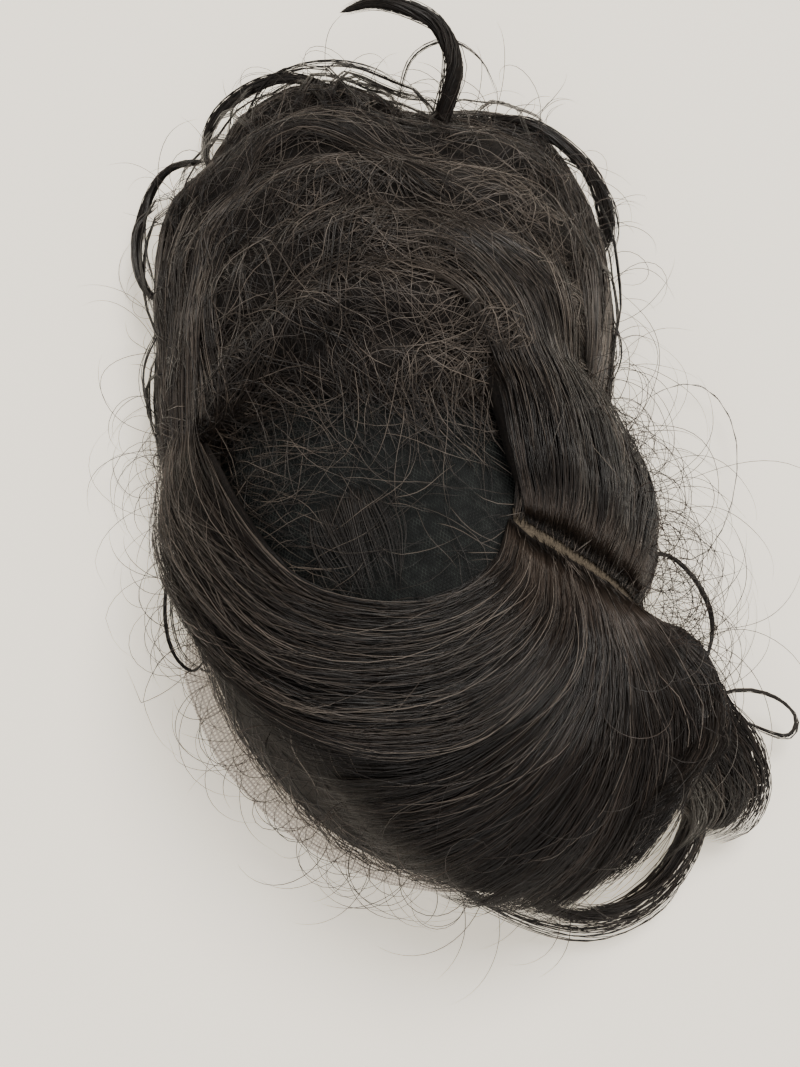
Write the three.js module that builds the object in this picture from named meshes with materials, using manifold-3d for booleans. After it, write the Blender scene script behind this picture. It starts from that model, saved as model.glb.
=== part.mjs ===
// A short dark lace-front wig standing on its rim, as it rests when it is put down on a table.
// Millimetres, +Z up, front towards -Y, the wearer's left towards +X.
// The origin is under the middle of the wig, on the surface that it stands on.
import * as THREE from "three";
import { mergeVertices } from "three/addons/utils/BufferGeometryUtils.js";
import Module from "manifold-3d";

// Cap sizes
const CAP_WIDTH = 152;
const CAP_LENGTH = 204;
const CAP_HEIGHT = 98;
const CAP_WALL = 1.5;
const CROWN_SAG = 9;
const FRONT_LIFT = 10;
const LACE_WALL = 1;
const LACE_MARGIN = 5;
const LACE_DEPTH = 18;
const LACE_FLARE = 11;
const PART_WIDTH = 7;
const PART_WALL = 1;

// Hair sizes
const CLEARANCE = 0.8;
const UNDERLAYER = 3;
const SWEEP = 8;
const FRINGE = 9;
const SIDE_FALL = 9;
const LOCK_RELIEF = 1.6;
const BACK_REACH = 212;
const BACK_HEIGHT = 98;
const WAVE_PITCH = 27;
const WAVE_RELIEF = 3.2;
const SOCKET = 0.35;
const ROOT_LAP = 2;
const UNDERCUT = 0.3;
const TIP_LIFT = 0.5;
const SLIVER = 0.03;

// Mesh steps
const CAP_AROUND = 48;
const CAP_DOWN = 9;
const LOCK_SIDES = 8;

// Colours as linear red, green and blue
const HAIR_COLOUR = new THREE.Color(0.028, 0.021, 0.018);
const NET_COLOUR = new THREE.Color(0.012, 0.016, 0.017);
const LACE_COLOUR = new THREE.Color(0.42, 0.31, 0.26);
const SCALP_COLOUR = new THREE.Color(0.46, 0.37, 0.27);

const hairFinish = () =>
  new THREE.MeshStandardMaterial({ color: HAIR_COLOUR, roughness: 0.45 });
const netFinish = () =>
  new THREE.MeshStandardMaterial({ color: NET_COLOUR, roughness: 0.85 });
const laceFinish = () =>
  new THREE.MeshStandardMaterial({ color: LACE_COLOUR, roughness: 0.8 });
const scalpFinish = () =>
  new THREE.MeshStandardMaterial({ color: SCALP_COLOUR, roughness: 0.8 });

// The dome of the cap. A place on it is (side, back): 0, 0 is the crown, and a length of 1 is the
// rim. Side grows to the wearer's left and back to the nape, both as shares of the way down.
const QUARTER = Math.PI / 2;
const SHOULDER = 0.9;
const BROW = 0.8;
const SAG_CENTRE = { side: -0.066, back: 0.216 };
const SAG_SPREAD = 0.5;

function domePoint(side, back) {
  const drop = Math.min(Math.hypot(side, back), 1);
  const around = Math.atan2(back, side);
  const out = Math.sin(drop * QUARTER) ** SHOULDER;
  const x = out * Math.cos(around);
  const y = out * Math.sin(around);
  const rim = FRONT_LIFT * Math.max(0, -Math.sin(around)) ** 2;
  const rise = Math.max(0, Math.cos(drop * QUARTER)) ** BROW;
  const off = Math.hypot(
    x - SAG_CENTRE.side,
    ((y - SAG_CENTRE.back) * CAP_LENGTH) / CAP_WIDTH,
  );
  const sag = CROWN_SAG * Math.exp(-((off / SAG_SPREAD) ** 2));
  return new THREE.Vector3(
    (x * CAP_WIDTH) / 2,
    (y * CAP_LENGTH) / 2,
    rim + (CAP_HEIGHT - rim) * rise - sag * rise,
  );
}

function domeNormal(side, back) {
  const step = 0.004;
  const most = 0.985;
  const shrink = Math.min(1, most / Math.max(Math.hypot(side, back), step));
  const u = side * shrink;
  const v = back * shrink;
  const along = domePoint(u + step, v).sub(domePoint(u - step, v));
  const across = domePoint(u, v + step).sub(domePoint(u, v - step));
  return along.cross(across).normalize();
}

// A point held off the cap by lift, along the cap's own normal.
function overDome(side, back, lift) {
  return domePoint(side, back).addScaledVector(domeNormal(side, back), lift);
}

function polar(degrees, drop) {
  const angle = THREE.MathUtils.degToRad(degrees);
  return [drop * Math.cos(angle), drop * Math.sin(angle)];
}

// Value of a table's column at a key, straight between rows that are sorted by that key.
function readRow(rows, key, at, column) {
  const above = rows.findIndex((row) => row[key] >= at);
  if (above <= 0) return rows[above === 0 ? 0 : rows.length - 1][column];
  const low = rows[above - 1];
  const high = rows[above];
  const share = (at - low[key]) / (high[key] - low[key]);
  return low[column] + share * (high[column] - low[column]);
}

const smooth = (from, to, at) => THREE.MathUtils.smoothstep(at, from, to);
const steps = (count) => Array.from({ length: count }, (_, i) => i / (count - 1));

// A closed mesh from points and triangles, turned so that it faces out.
function closedMesh(points, triangles) {
  const volume = triangles.reduce(
    (sum, [a, b, c]) => sum + points[a].dot(points[b].clone().cross(points[c])),
    0,
  );
  const faces = volume < 0 ? triangles.map(([a, b, c]) => [a, c, b]) : triangles;
  const geometry = new THREE.BufferGeometry().setFromPoints(points);
  geometry.setIndex(faces.flat());
  geometry.computeVertexNormals();
  return geometry;
}

// A surface lofted through closed rings of points. The first and last rings are single points.
function loft(rings) {
  const points = rings.flat();
  const starts = rings.reduce((list, ring) => [...list, list.at(-1) + ring.length], [0]);
  const triangles = [];
  for (let r = 0; r + 1 < rings.length; r++) {
    const [near, far] = [rings[r].length, rings[r + 1].length];
    const count = Math.max(near, far);
    for (let i = 0; i < count; i++) {
      const a = starts[r] + (i % near);
      const b = starts[r] + ((i + 1) % near);
      const c = starts[r + 1] + ((i + 1) % far);
      const d = starts[r + 1] + (i % far);
      if (near > 1) triangles.push([a, b, c]);
      if (far > 1) triangles.push([a, c, d]);
    }
  }
  return closedMesh(points, triangles);
}

// A slab between two grids of points with the same rows and columns.
function slab(top, bottom) {
  const rows = top.length;
  const columns = top[0].length;
  const points = [...top.flat(), ...bottom.flat()];
  const upper = (i, j) => i * columns + j;
  const lower = (i, j) => rows * columns + i * columns + j;
  const triangles = [];
  const quad = (a, b, c, d) => triangles.push([a, b, c], [a, c, d]);
  for (let i = 0; i + 1 < rows; i++)
    for (let j = 0; j + 1 < columns; j++) {
      quad(upper(i, j), upper(i + 1, j), upper(i + 1, j + 1), upper(i, j + 1));
      quad(lower(i, j), lower(i, j + 1), lower(i + 1, j + 1), lower(i + 1, j));
    }
  for (let i = 0; i + 1 < rows; i++) {
    quad(upper(i, 0), lower(i, 0), lower(i + 1, 0), upper(i + 1, 0));
    const j = columns - 1;
    quad(upper(i, j), upper(i + 1, j), lower(i + 1, j), lower(i, j));
  }
  for (let j = 0; j + 1 < columns; j++) {
    quad(upper(0, j), upper(0, j + 1), lower(0, j + 1), lower(0, j));
    const i = rows - 1;
    quad(upper(i, j), lower(i, j), lower(i, j + 1), upper(i, j + 1));
  }
  return closedMesh(points, triangles);
}

// Joins and cuts
const wasm = await Module();
wasm.setup();

function solid(geometry) {
  const bare = geometry.clone();
  bare.deleteAttribute("normal");
  const merged = mergeVertices(bare, 1e-3);
  return new wasm.Manifold(
    new wasm.Mesh({
      numProp: 3,
      vertProperties: merged.attributes.position.array,
      triVerts: new Uint32Array(merged.index.array),
    }),
  );
}

const largest = (body) => body.decompose().sort((a, b) => b.volume() - a.volume())[0];

function meshOf(body) {
  const mesh = body.getMesh();
  const geometry = new THREE.BufferGeometry();
  geometry.setAttribute("position", new THREE.BufferAttribute(mesh.vertProperties, 3));
  geometry.setIndex(new THREE.BufferAttribute(mesh.triVerts, 1));
  return geometry;
}

// Cuts every tool from the body and keeps the largest piece that is left, without slivers.
function carve(geometry, tools) {
  const cut = tools.reduce((body, tool) => body.subtract(solid(tool)), solid(geometry));
  const whole = largest(largest(cut).simplify(SLIVER));
  const made = meshOf(largest(solid(meshOf(whole))));
  made.computeVertexNormals();
  return made;
}

// The cap's shell, from its crown down the outside to the rim and back up the inside. In front it
// stops short of the rim, where the lace takes over.
const LACE_START = 1 - LACE_DEPTH / CAP_HEIGHT;
const LACE_END = 0.985;
const LACE_HELD = 0.6;

function capRim(degrees) {
  const front = Math.max(0, -Math.sin(THREE.MathUtils.degToRad(degrees)));
  return 1 - (1 - LACE_START - CLEARANCE / CAP_HEIGHT) * 0.7 * smooth(0, 0.35, front);
}

function domeRings(lift, down) {
  const rings = [];
  for (let r = 1; r <= down; r++) {
    const ring = [];
    for (let i = 0; i < CAP_AROUND; i++) {
      const degrees = (i * 360) / CAP_AROUND;
      const point = overDome(...polar(degrees, (capRim(degrees) * r) / down), lift);
      ring.push(point.setZ(Math.max(point.z, 0)));
    }
    rings.push(ring);
  }
  return rings;
}

function capNet() {
  const outside = domeRings(0, CAP_DOWN);
  const inside = domeRings(-CAP_WALL, CAP_DOWN).reverse();
  return loft([[overDome(0, 0, 0)], ...outside, ...inside, [overDome(0, 0, -CAP_WALL)]]);
}

// The space that the cap takes up, filled in down to below the table and grown by a lift.
function capBlank(lift) {
  const floor = -FRONT_LIFT;
  const rings = [];
  for (let r = 1; r <= CAP_DOWN; r++)
    rings.push(
      steps(CAP_AROUND + 1)
        .slice(0, -1)
        .map((turn) => overDome(...polar(turn * 360, r / CAP_DOWN), lift)),
    );
  const foot = rings.at(-1).map((p) => p.clone().setZ(floor));
  return loft([[overDome(0, 0, lift)], ...rings, foot, [new THREE.Vector3(0, 0, floor)]]);
}

// The lace in front of the cap, from ear to ear. Its free edge flares out below the hairline, and
// most of all in the tab at the wearer's right ear.
const LACE_ROWS = [
  { degrees: -208, flare: 0.1 },
  { degrees: -196, flare: 0.5 },
  { degrees: -184, flare: 1 },
  { degrees: -168, flare: 0.7 },
  { degrees: -150, flare: 0.45 },
  { degrees: -100, flare: 0.4 },
  { degrees: -40, flare: 0.35 },
  { degrees: 4, flare: 0.2 },
  { degrees: 14, flare: 0.1 },
];

function laceFront() {
  const first = LACE_ROWS[0].degrees;
  const last = LACE_ROWS.at(-1).degrees;
  const sheet = (lift) =>
    steps(37).map((turn) =>
      steps(6).map((down) => {
        const degrees = first + turn * (last - first);
        const front = Math.max(0, -Math.sin(THREE.MathUtils.degToRad(degrees)));
        const drop = LACE_START + down * (LACE_END - LACE_START);
        const free = Math.max(0, (down - LACE_HELD) / (1 - LACE_HELD)) ** 1.5;
        const flare = LACE_FLARE * readRow(LACE_ROWS, "degrees", degrees, "flare") * free;
        const point = overDome(...polar(degrees, drop), lift + flare);
        return point.setZ(point.z - free * LACE_MARGIN * front);
      }),
    );
  return slab(sheet(CLEARANCE + LACE_WALL), sheet(CLEARANCE));
}

// The line of the parting, from the crown to the wearer's left temple. Along runs from 0 to 1 and
// across is in millimetres towards the back.
const PARTING = { side: [0.26, 0.74], back: [-0.005, -0.31], bow: 0.008 };
const PARTING_SCALE = (CAP_WIDTH + CAP_LENGTH) / 4 + CAP_WALL * 8;

function partingPoint(along, across) {
  const [u0, u1] = PARTING.side;
  const [v0, v1] = PARTING.back;
  const bow = PARTING.bow * Math.sin(along * Math.PI);
  const share = across / PARTING_SCALE / Math.hypot(u1 - u0, v1 - v0);
  return [
    u0 + along * (u1 - u0) - bow + share * (v0 - v1),
    v0 + along * (v1 - v0) - bow + share * (u1 - u0),
  ];
}

function partStrip(margin = 0) {
  const sheet = (lift) =>
    steps(13).map((along) =>
      steps(3).map((share) => {
        const across = (share - 0.5) * (PART_WIDTH + 2 * margin);
        return overDome(...partingPoint(along, across), lift);
      }),
    );
  return slab(sheet(CLEARANCE + PART_WALL + margin), sheet(CLEARANCE - margin / 2));
}

// The short hair that covers the cap's sides below the sheets, in a band from ear to ear. It stays
// clear of the parting.
const UNDERLAYER_ROWS = [
  { degrees: -235, from: 0.72, to: 0.97 },
  { degrees: -210, from: 0.5, to: 0.92 },
  { degrees: -180, from: 0.36, to: 0.9 },
  { degrees: -150, from: 0.36, to: 0.9 },
  { degrees: -120, from: 0.4, to: 0.91 },
  { degrees: -75, from: 0.46, to: 0.92 },
  { degrees: -45, from: 0.66, to: 0.92 },
  { degrees: -30, from: 0.86, to: 0.93 },
  { degrees: -16, from: 0.86, to: 0.93 },
  { degrees: 0, from: 0.62, to: 0.93 },
  { degrees: 18, from: 0.6, to: 0.94 },
  { degrees: 36, from: 0.6, to: 0.98 },
];
const UNDERLAYER_TUFTS = 12;

const underlayerSeat = (drop) =>
  CLEARANCE + (CLEARANCE + LACE_WALL) * smooth(0.5, LACE_START - 0.02, drop);

function underlayer(margin = 0) {
  const grow = (margin * 2) / CAP_WIDTH;
  const turnGrow = THREE.MathUtils.radToDeg(grow);
  const first = UNDERLAYER_ROWS[0].degrees - turnGrow;
  const last = UNDERLAYER_ROWS.at(-1).degrees + turnGrow;
  const grid = (top) =>
    steps(43).map((turn) =>
      steps(6).map((down) => {
        const degrees = first + turn * (last - first);
        const from = readRow(UNDERLAYER_ROWS, "degrees", degrees, "from") - grow;
        const to = readRow(UNDERLAYER_ROWS, "degrees", degrees, "to") + grow;
        const drop = from + down * (to - from);
        const seat = underlayerSeat(drop);
        const edge = 1 - 0.6 * Math.abs(2 * down - 1) ** 6;
        const ripple = Math.cos(THREE.MathUtils.degToRad(degrees * UNDERLAYER_TUFTS));
        const thick = UNDERLAYER * edge * (0.85 + 0.15 * ripple);
        return overDome(...polar(degrees, drop), top ? seat + thick + margin : seat - margin);
      }),
    );
  return slab(grid(true), grid(false));
}

// The lift at which a sheet of hair clears the parting, and the underlayer where there is one.
function sheetFoot(side, back) {
  const plain = CLEARANCE * 2 + PART_WALL;
  const drop = Math.hypot(side, back);
  const first = UNDERLAYER_ROWS[0].degrees;
  const last = UNDERLAYER_ROWS.at(-1).degrees;
  const turned = THREE.MathUtils.radToDeg(Math.atan2(back, side));
  const degrees = turned > (first + last) / 2 + 180 ? turned - 360 : turned;
  const from = readRow(UNDERLAYER_ROWS, "degrees", degrees, "from");
  const ends = smooth(first - 7, first - 1, degrees) * (1 - smooth(last + 1, last + 7, degrees));
  const over = ends * smooth(from - 0.07, from - 0.02, drop);
  const top = underlayerSeat(drop) + UNDERLAYER + CLEARANCE;
  return plain + Math.max(0, top - plain) * over;
}

// A sheet of hair over the cap. Each guide is a line of places that the hair passes, from its root
// to its tip. Side and back are shares of the cap, and rise is how far the hair stands off the cap
// as a share of the sheet's thickness. A guide with a root starts at that share of the parting.
function guideCurve(guide, rootSide) {
  const places = guide.side.map((side, i) => {
    return new THREE.Vector3(side, guide.back[i], guide.rise[i]);
  });
  if (guide.root !== undefined) {
    const [side, back] = partingPoint(guide.root, rootSide * (PART_WIDTH / 2 - ROOT_LAP));
    places.unshift(new THREE.Vector3(side, back, 0));
  }
  return new THREE.CatmullRomCurve3(places);
}

// The sheet as a slab. A margin grows it all round, for the room that its neighbours leave.
function hairSheet(shape, margin = 0) {
  const { thickness, locks, columns, rows } = shape;
  const curves = shape.guides.map((guide) => guideCurve(guide, shape.rootSide));
  const placeAt = (across, along) => {
    const row = curves.map((curve) => curve.getPoint(along));
    return new THREE.CatmullRomCurve3(row).getPoint(across);
  };
  const grow = (margin * 2) / CAP_LENGTH;
  const grid = (top) =>
    steps(columns).map((across, i) =>
      steps(rows).map((along, j) => {
        const place = placeAt(across, along);
        const beside = placeAt(Math.abs(across - 0.02), along);
        const before = placeAt(across, Math.abs(along - 0.02));
        if (i === 0 || i === columns - 1) {
          const out = place.clone().sub(beside).setZ(0).normalize();
          place.addScaledVector(out, grow);
        }
        if (j === 0 || j === rows - 1) {
          const out = place.clone().sub(before).setZ(0).normalize();
          place.addScaledVector(out, grow);
        }
        const relief = LOCK_RELIEF * Math.cos(2 * Math.PI * locks * across + 2 * along);
        const crown = 1 - 0.75 * Math.abs(2 * across - 1) ** 4;
        const taper = smooth(-0.12, 0.3, along) * (1 - 0.7 * smooth(0.75, 1, along));
        const height = (thickness + relief) * crown * taper + 1;
        const rise = Math.max(0, place.z) * thickness;
        const foot = sheetFoot(place.x, place.y);
        const hollow = UNDERCUT + TIP_LIFT * smooth(0.7, 1, along);
        const lift = top ? foot + rise + height + margin : foot + rise * hollow - margin;
        return overDome(place.x, place.y, lift);
      }),
    );
  return slab(grid(true), grid(false));
}

// Hair from the crown end of the parting, swept round the crown to the wearer's right ear.
const sweepShape = {
  thickness: SWEEP,
  locks: 4,
  columns: 17,
  rows: 14,
  rootSide: -1,
  guides: [
    {
      side: [0.25, 0.13, -0.07, -0.27, -0.37, -0.44],
      back: [0.01, -0.07, -0.07, 0.04, 0.27, 0.62],
      rise: [0, 0.2, 0.3, 0.4, 0.5, 0.4],
    },
    {
      root: 0.07,
      side: [0.15, -0.09, -0.35, -0.5, -0.53],
      back: [-0.14, -0.15, -0.03, 0.27, 0.65],
      rise: [0.2, 0.3, 0.5, 0.6, 0.5],
    },
    {
      root: 0.14,
      side: [0.17, -0.09, -0.38, -0.57, -0.64],
      back: [-0.2, -0.24, -0.12, 0.18, 0.6],
      rise: [0.3, 0.5, 0.6, 0.6, 0.5],
    },
    {
      root: 0.21,
      side: [0.19, -0.08, -0.36, -0.58, -0.74],
      back: [-0.25, -0.32, -0.21, 0.04, 0.44],
      rise: [0.4, 0.6, 0.6, 0.6, 0.5],
    },
  ],
};

// Hair that falls from the parting over the forehead to the wearer's left temple.
const fringeShape = {
  thickness: FRINGE,
  locks: 6,
  columns: 25,
  rows: 13,
  rootSide: -1,
  guides: [
    {
      root: 0.24,
      side: [0.205, -0.07, -0.33, -0.54],
      back: [-0.285, -0.365, -0.35, -0.3],
      rise: [0.3, 0.4, 0.3, 0.1],
    },
    {
      root: 0.33,
      side: [0.24, 0, -0.25, -0.42],
      back: [-0.37, -0.51, -0.58, -0.6],
      rise: [0.3, 0.3, 0.2, 0.1],
    },
    {
      root: 0.43,
      side: [0.33, 0.14, -0.08, -0.23],
      back: [-0.45, -0.67, -0.79, -0.83],
      rise: [0.4, 0.4, 0.3, 0.1],
    },
    {
      root: 0.55,
      side: [0.46, 0.32, 0.15, 0.02],
      back: [-0.5, -0.68, -0.77, -0.8],
      rise: [0.6, 0.8, 0.8, 0.6],
    },
    {
      root: 0.74,
      side: [0.6, 0.49, 0.36, 0.24],
      back: [-0.44, -0.54, -0.58, -0.6],
      rise: [1, 1.5, 1.6, 1.4],
    },
    {
      root: 0.98,
      side: [0.75, 0.68, 0.59, 0.47],
      back: [-0.41, -0.52, -0.61, -0.65],
      rise: [1.1, 2, 2.5, 2.5],
    },
  ],
};

// Hair on the other side of the parting, which runs back over the wearer's left ear.
const sideFallShape = {
  thickness: SIDE_FALL,
  locks: 4,
  columns: 19,
  rows: 11,
  rootSide: 1,
  guides: [
    {
      root: 0.05,
      side: [0.31, 0.35, 0.35],
      back: [0.12, 0.27, 0.43],
      rise: [0.6, 1.1, 1.4],
    },
    {
      root: 0.25,
      side: [0.42, 0.46, 0.46],
      back: [0.08, 0.24, 0.42],
      rise: [0.6, 1, 1.4],
    },
    {
      root: 0.48,
      side: [0.55, 0.58, 0.55],
      back: [0.02, 0.21, 0.41],
      rise: [0.4, 0.7, 1.2],
    },
    {
      root: 0.75,
      side: [0.7, 0.74, 0.68],
      back: [-0.04, 0.16, 0.37],
      rise: [0.2, 0.3, 0.8],
    },
    {
      root: 1,
      side: [0.86, 0.9, 0.85],
      back: [-0.12, 0.1, 0.34],
      rise: [0, 0.1, 0.3],
    },
  ],
};

// The curly hair at the back: a mound that starts at the net's back edge and spreads over the
// table. From and reach are shares of BACK_REACH from the cap's middle, crest of BACK_HEIGHT.
const BACK_ROWS = [
  { degrees: 16, from: 0.42, reach: 0.45, crest: 0.2 },
  { degrees: 22, from: 0.39, reach: 0.5, crest: 0.42 },
  { degrees: 29, from: 0.35, reach: 0.59, crest: 0.62 },
  { degrees: 35, from: 0.32, reach: 0.68, crest: 0.8 },
  { degrees: 39, from: 0.3, reach: 0.76, crest: 0.87 },
  { degrees: 43, from: 0.29, reach: 0.82, crest: 0.91 },
  { degrees: 47, from: 0.28, reach: 0.87, crest: 0.94 },
  { degrees: 52, from: 0.27, reach: 0.91, crest: 0.97 },
  { degrees: 60, from: 0.26, reach: 0.94, crest: 1 },
  { degrees: 68, from: 0.26, reach: 0.95, crest: 1 },
  { degrees: 74, from: 0.26, reach: 0.98, crest: 1 },
  { degrees: 81, from: 0.27, reach: 1, crest: 0.98 },
  { degrees: 87, from: 0.28, reach: 0.99, crest: 0.96 },
  { degrees: 92, from: 0.3, reach: 0.93, crest: 0.93 },
  { degrees: 98, from: 0.33, reach: 0.875, crest: 0.9 },
  { degrees: 105, from: 0.36, reach: 0.775, crest: 0.86 },
  { degrees: 113, from: 0.385, reach: 0.66, crest: 0.78 },
  { degrees: 122, from: 0.4, reach: 0.565, crest: 0.64 },
  { degrees: 131, from: 0.41, reach: 0.5, crest: 0.5 },
  { degrees: 140, from: 0.4, reach: 0.45, crest: 0.34 },
];

// The mound's height along its way out, as a share of its crest.
const BACK_PROFILE = [
  { out: 0, height: 0.84 },
  { out: 0.08, height: 0.93 },
  { out: 0.2, height: 1 },
  { out: 0.34, height: 0.95 },
  { out: 0.5, height: 0.82 },
  { out: 0.66, height: 0.67 },
  { out: 0.8, height: 0.51 },
  { out: 0.9, height: 0.36 },
  { out: 0.96, height: 0.22 },
  { out: 1, height: 0.05 },
];

function backHair() {
  const ends = [BACK_ROWS[0].degrees, BACK_ROWS.at(-1).degrees];
  const grid = (top) =>
    steps(36).map((turn) =>
      steps(16).map((share) => {
        const degrees = ends[0] + turn * (ends[1] - ends[0]);
        const out = 1 - (1 - share) ** 1.35;
        const read = (column) => readRow(BACK_ROWS, "degrees", degrees, column);
        const from = read("from") * BACK_REACH;
        const reach = read("reach") * BACK_REACH;
        const ripple = 0.025 * Math.sin(THREE.MathUtils.degToRad(degrees * 15));
        const radius = from + out * (reach - from) * (1 + ripple * out);
        const angle = THREE.MathUtils.degToRad(degrees);
        const wave = Math.sin((2 * Math.PI * radius) / WAVE_PITCH + 1.4 * Math.sin(3 * angle));
        const level = readRow(BACK_PROFILE, "out", out, "height");
        const calm = smooth(0, 0.1, out) * (1 - smooth(0.88, 1, out));
        const end = Math.min(1, Math.min(turn, 1 - turn) / 0.06) ** 0.5;
        const crest = read("crest") * (0.35 + 0.65 * end);
        const height = crest * (BACK_HEIGHT * level + WAVE_RELIEF * wave * calm);
        return new THREE.Vector3(
          radius * Math.cos(angle),
          radius * Math.sin(angle),
          top ? height : 0,
        );
      }),
    );
  return slab(grid(true), grid(false));
}

// Curls and loose locks: each is swept along a few places that it passes. Side and back are shares
// of half the cap's width and length, up is a share of its height, and thick is a width in mm.
const CURLS = [
  {
    name: "curl_crown_loop",
    thick: 8.5,
    flat: 0.7,
    side: [0.94, 1.1, 1.2, 1.18, 1.07, 0.93, 0.76],
    back: [1.52, 1.63, 1.72, 1.84, 1.92, 2, 2.04],
    up: [0.3, 0.43, 0.53, 0.61, 0.65, 0.65, 0.59],
  },
  {
    name: "curl_nape_arc",
    thick: 5,
    flat: 0.8,
    side: [0.73, 0.59, 0.42, 0.23, 0.05, -0.07, -0.1],
    back: [1.84, 1.97, 2.07, 2.1, 2.07, 1.97, 1.82],
    up: [0.24, 0.27, 0.24, 0.18, 0.14, 0.12, 0.14],
  },
  {
    name: "curl_right_loop",
    thick: 4.6,
    flat: 0.9,
    side: [-0.09, -0.27, -0.43, -0.57, -0.63, -0.63, -0.54],
    back: [1.88, 1.92, 1.85, 1.72, 1.6, 1.49, 1.36],
    up: [0.18, 0.18, 0.16, 0.12, 0.12, 0.14, 0.2],
  },
  {
    name: "curl_left_loop",
    thick: 6,
    flat: 0.7,
    side: [1.28, 1.45, 1.58, 1.67, 1.67, 1.61, 1.46],
    back: [1.57, 1.49, 1.37, 1.22, 1.08, 0.97, 0.91],
    up: [0.31, 0.35, 0.33, 0.29, 0.22, 0.18, 0.2],
  },
  {
    name: "curl_left_side",
    thick: 6.5,
    flat: 0.7,
    side: [1.26, 1.38, 1.38, 1.3, 1.18, 1.06],
    back: [0.84, 0.76, 0.61, 0.49, 0.43, 0.43],
    up: [0.27, 0.27, 0.22, 0.18, 0.17, 0.22],
  },
  {
    name: "curl_front",
    thick: 11,
    flat: 0.65,
    side: [0.62, 0.7, 0.78, 0.74, 0.56, 0.31, 0.11, -0.03, -0.1],
    back: [-0.86, -0.92, -1.03, -1.14, -1.25, -1.29, -1.25, -1.16, -1.06],
    up: [0.7, 0.54, 0.33, 0.18, 0.11, 0.09, 0.09, 0.13, 0.19],
  },
  {
    name: "curl_temple_puff",
    thick: 24,
    flat: 0.75,
    side: [0.9, 1.02, 1.04, 0.96, 0.83],
    back: [-0.72, -0.86, -0.98, -1.09, -1.14],
    up: [0.42, 0.3, 0.21, 0.15, 0.14],
  },
  {
    name: "lock_left_arc",
    thick: 2,
    flat: 0.9,
    side: [1.02, 1.14, 1.24, 1.26, 1.17, 1.04],
    back: [-0.22, -0.23, -0.34, -0.49, -0.6, -0.66],
    up: [0.47, 0.41, 0.33, 0.27, 0.27, 0.33],
  },
  {
    name: "lock_left_loop",
    thick: 2,
    flat: 0.9,
    side: [1.02, 1.24, 1.41, 1.47, 1.4, 1.28, 1.08],
    back: [-0.74, -0.75, -0.83, -0.93, -0.98, -0.91, -0.77],
    up: [0.33, 0.24, 0.18, 0.13, 0.12, 0.14, 0.25],
  },
  {
    name: "lock_right_loop",
    thick: 1.8,
    flat: 0.9,
    side: [-0.93, -1.03, -1.13, -1.17, -1.12, -1.03],
    back: [0.4, 0.4, 0.3, 0.16, 0.06, 0.07],
    up: [0.4, 0.35, 0.25, 0.22, 0.24, 0.33],
  },
];

function lock({ thick, flat, side, back, up }, margin = 0) {
  const places = side.map((share, i) => {
    const x = (share * CAP_WIDTH) / 2;
    return new THREE.Vector3(x, (back[i] * CAP_LENGTH) / 2, up[i] * CAP_HEIGHT);
  });
  const curve = new THREE.CatmullRomCurve3(places);
  const count = Math.max(8, Math.min(18, Math.round(curve.getLength() / 7)));
  const rings = [];
  for (let r = 0; r <= count; r++) {
    const along = r / count;
    const centre = curve.getPointAt(along);
    const ahead = curve.getTangentAt(along);
    const wide = new THREE.Vector3(-ahead.y, ahead.x, 0).normalize();
    const deep = ahead.clone().cross(wide).normalize();
    if (r === 0 || r === count) {
      rings.push([centre.addScaledVector(ahead, r === 0 ? -margin : margin)]);
      continue;
    }
    const swell = Math.sin(Math.PI * Math.min(1, 0.08 + along * 0.92)) ** 0.45;
    const width = (thick / 2) * swell + margin;
    const depth = (thick / 2) * flat * swell + margin;
    rings.push(
      steps(LOCK_SIDES + 1)
        .slice(0, -1)
        .map((turn) =>
          centre
            .clone()
            .addScaledVector(wide, width * Math.cos(turn * 2 * Math.PI))
            .addScaledVector(deep, depth * Math.sin(turn * 2 * Math.PI)),
        ),
    );
  }
  return loft(rings);
}

// The short tuft that lies in the middle of the net.
const TUFT = { length: 25, width: 13, thick: 2.4, side: -0.09, back: 0.07, lean: 0.04 };

function crownTuft() {
  const grid = (top) =>
    steps(8).map((across) =>
      steps(8).map((along) => {
        const spread = 1 - 0.45 * along ** 1.5;
        const tip = (0.5 - along) * TUFT.length;
        const arc = 2.5 * (2 * across - 1) ** 2 * (1 - along);
        const u = TUFT.side + ((across - 0.5) * spread * TUFT.width) / (CAP_WIDTH / 2);
        const v = TUFT.back + (tip - arc) / (CAP_LENGTH / 2);
        const body = Math.sin(Math.PI * (0.1 + 0.8 * along)) * (1 - (2 * across - 1) ** 4);
        const lift = CLEARANCE + (top ? 0.6 + TUFT.thick * body : 0);
        return overDome(u - TUFT.lean * along, v, lift);
      }),
    );
  return slab(grid(true), grid(false));
}

// Assembly: each sheet is carved round what lies under or in it, with a small clearance.
const sheets = [sweepShape, fringeShape, sideFallShape];
const [sweep, fringe, sideFall] = sheets.map((shape) => hairSheet(shape));
const sheetRoom = sheets.map((shape) => hairSheet(shape, SOCKET));
const curlRoom = CURLS.map((curl) => lock(curl, SOCKET));

const under = carve(underlayer(), curlRoom);
const back = carve(backHair(), [
  capBlank(CLEARANCE),
  ...sheetRoom,
  ...curlRoom,
  underlayer(SOCKET),
]);

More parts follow.
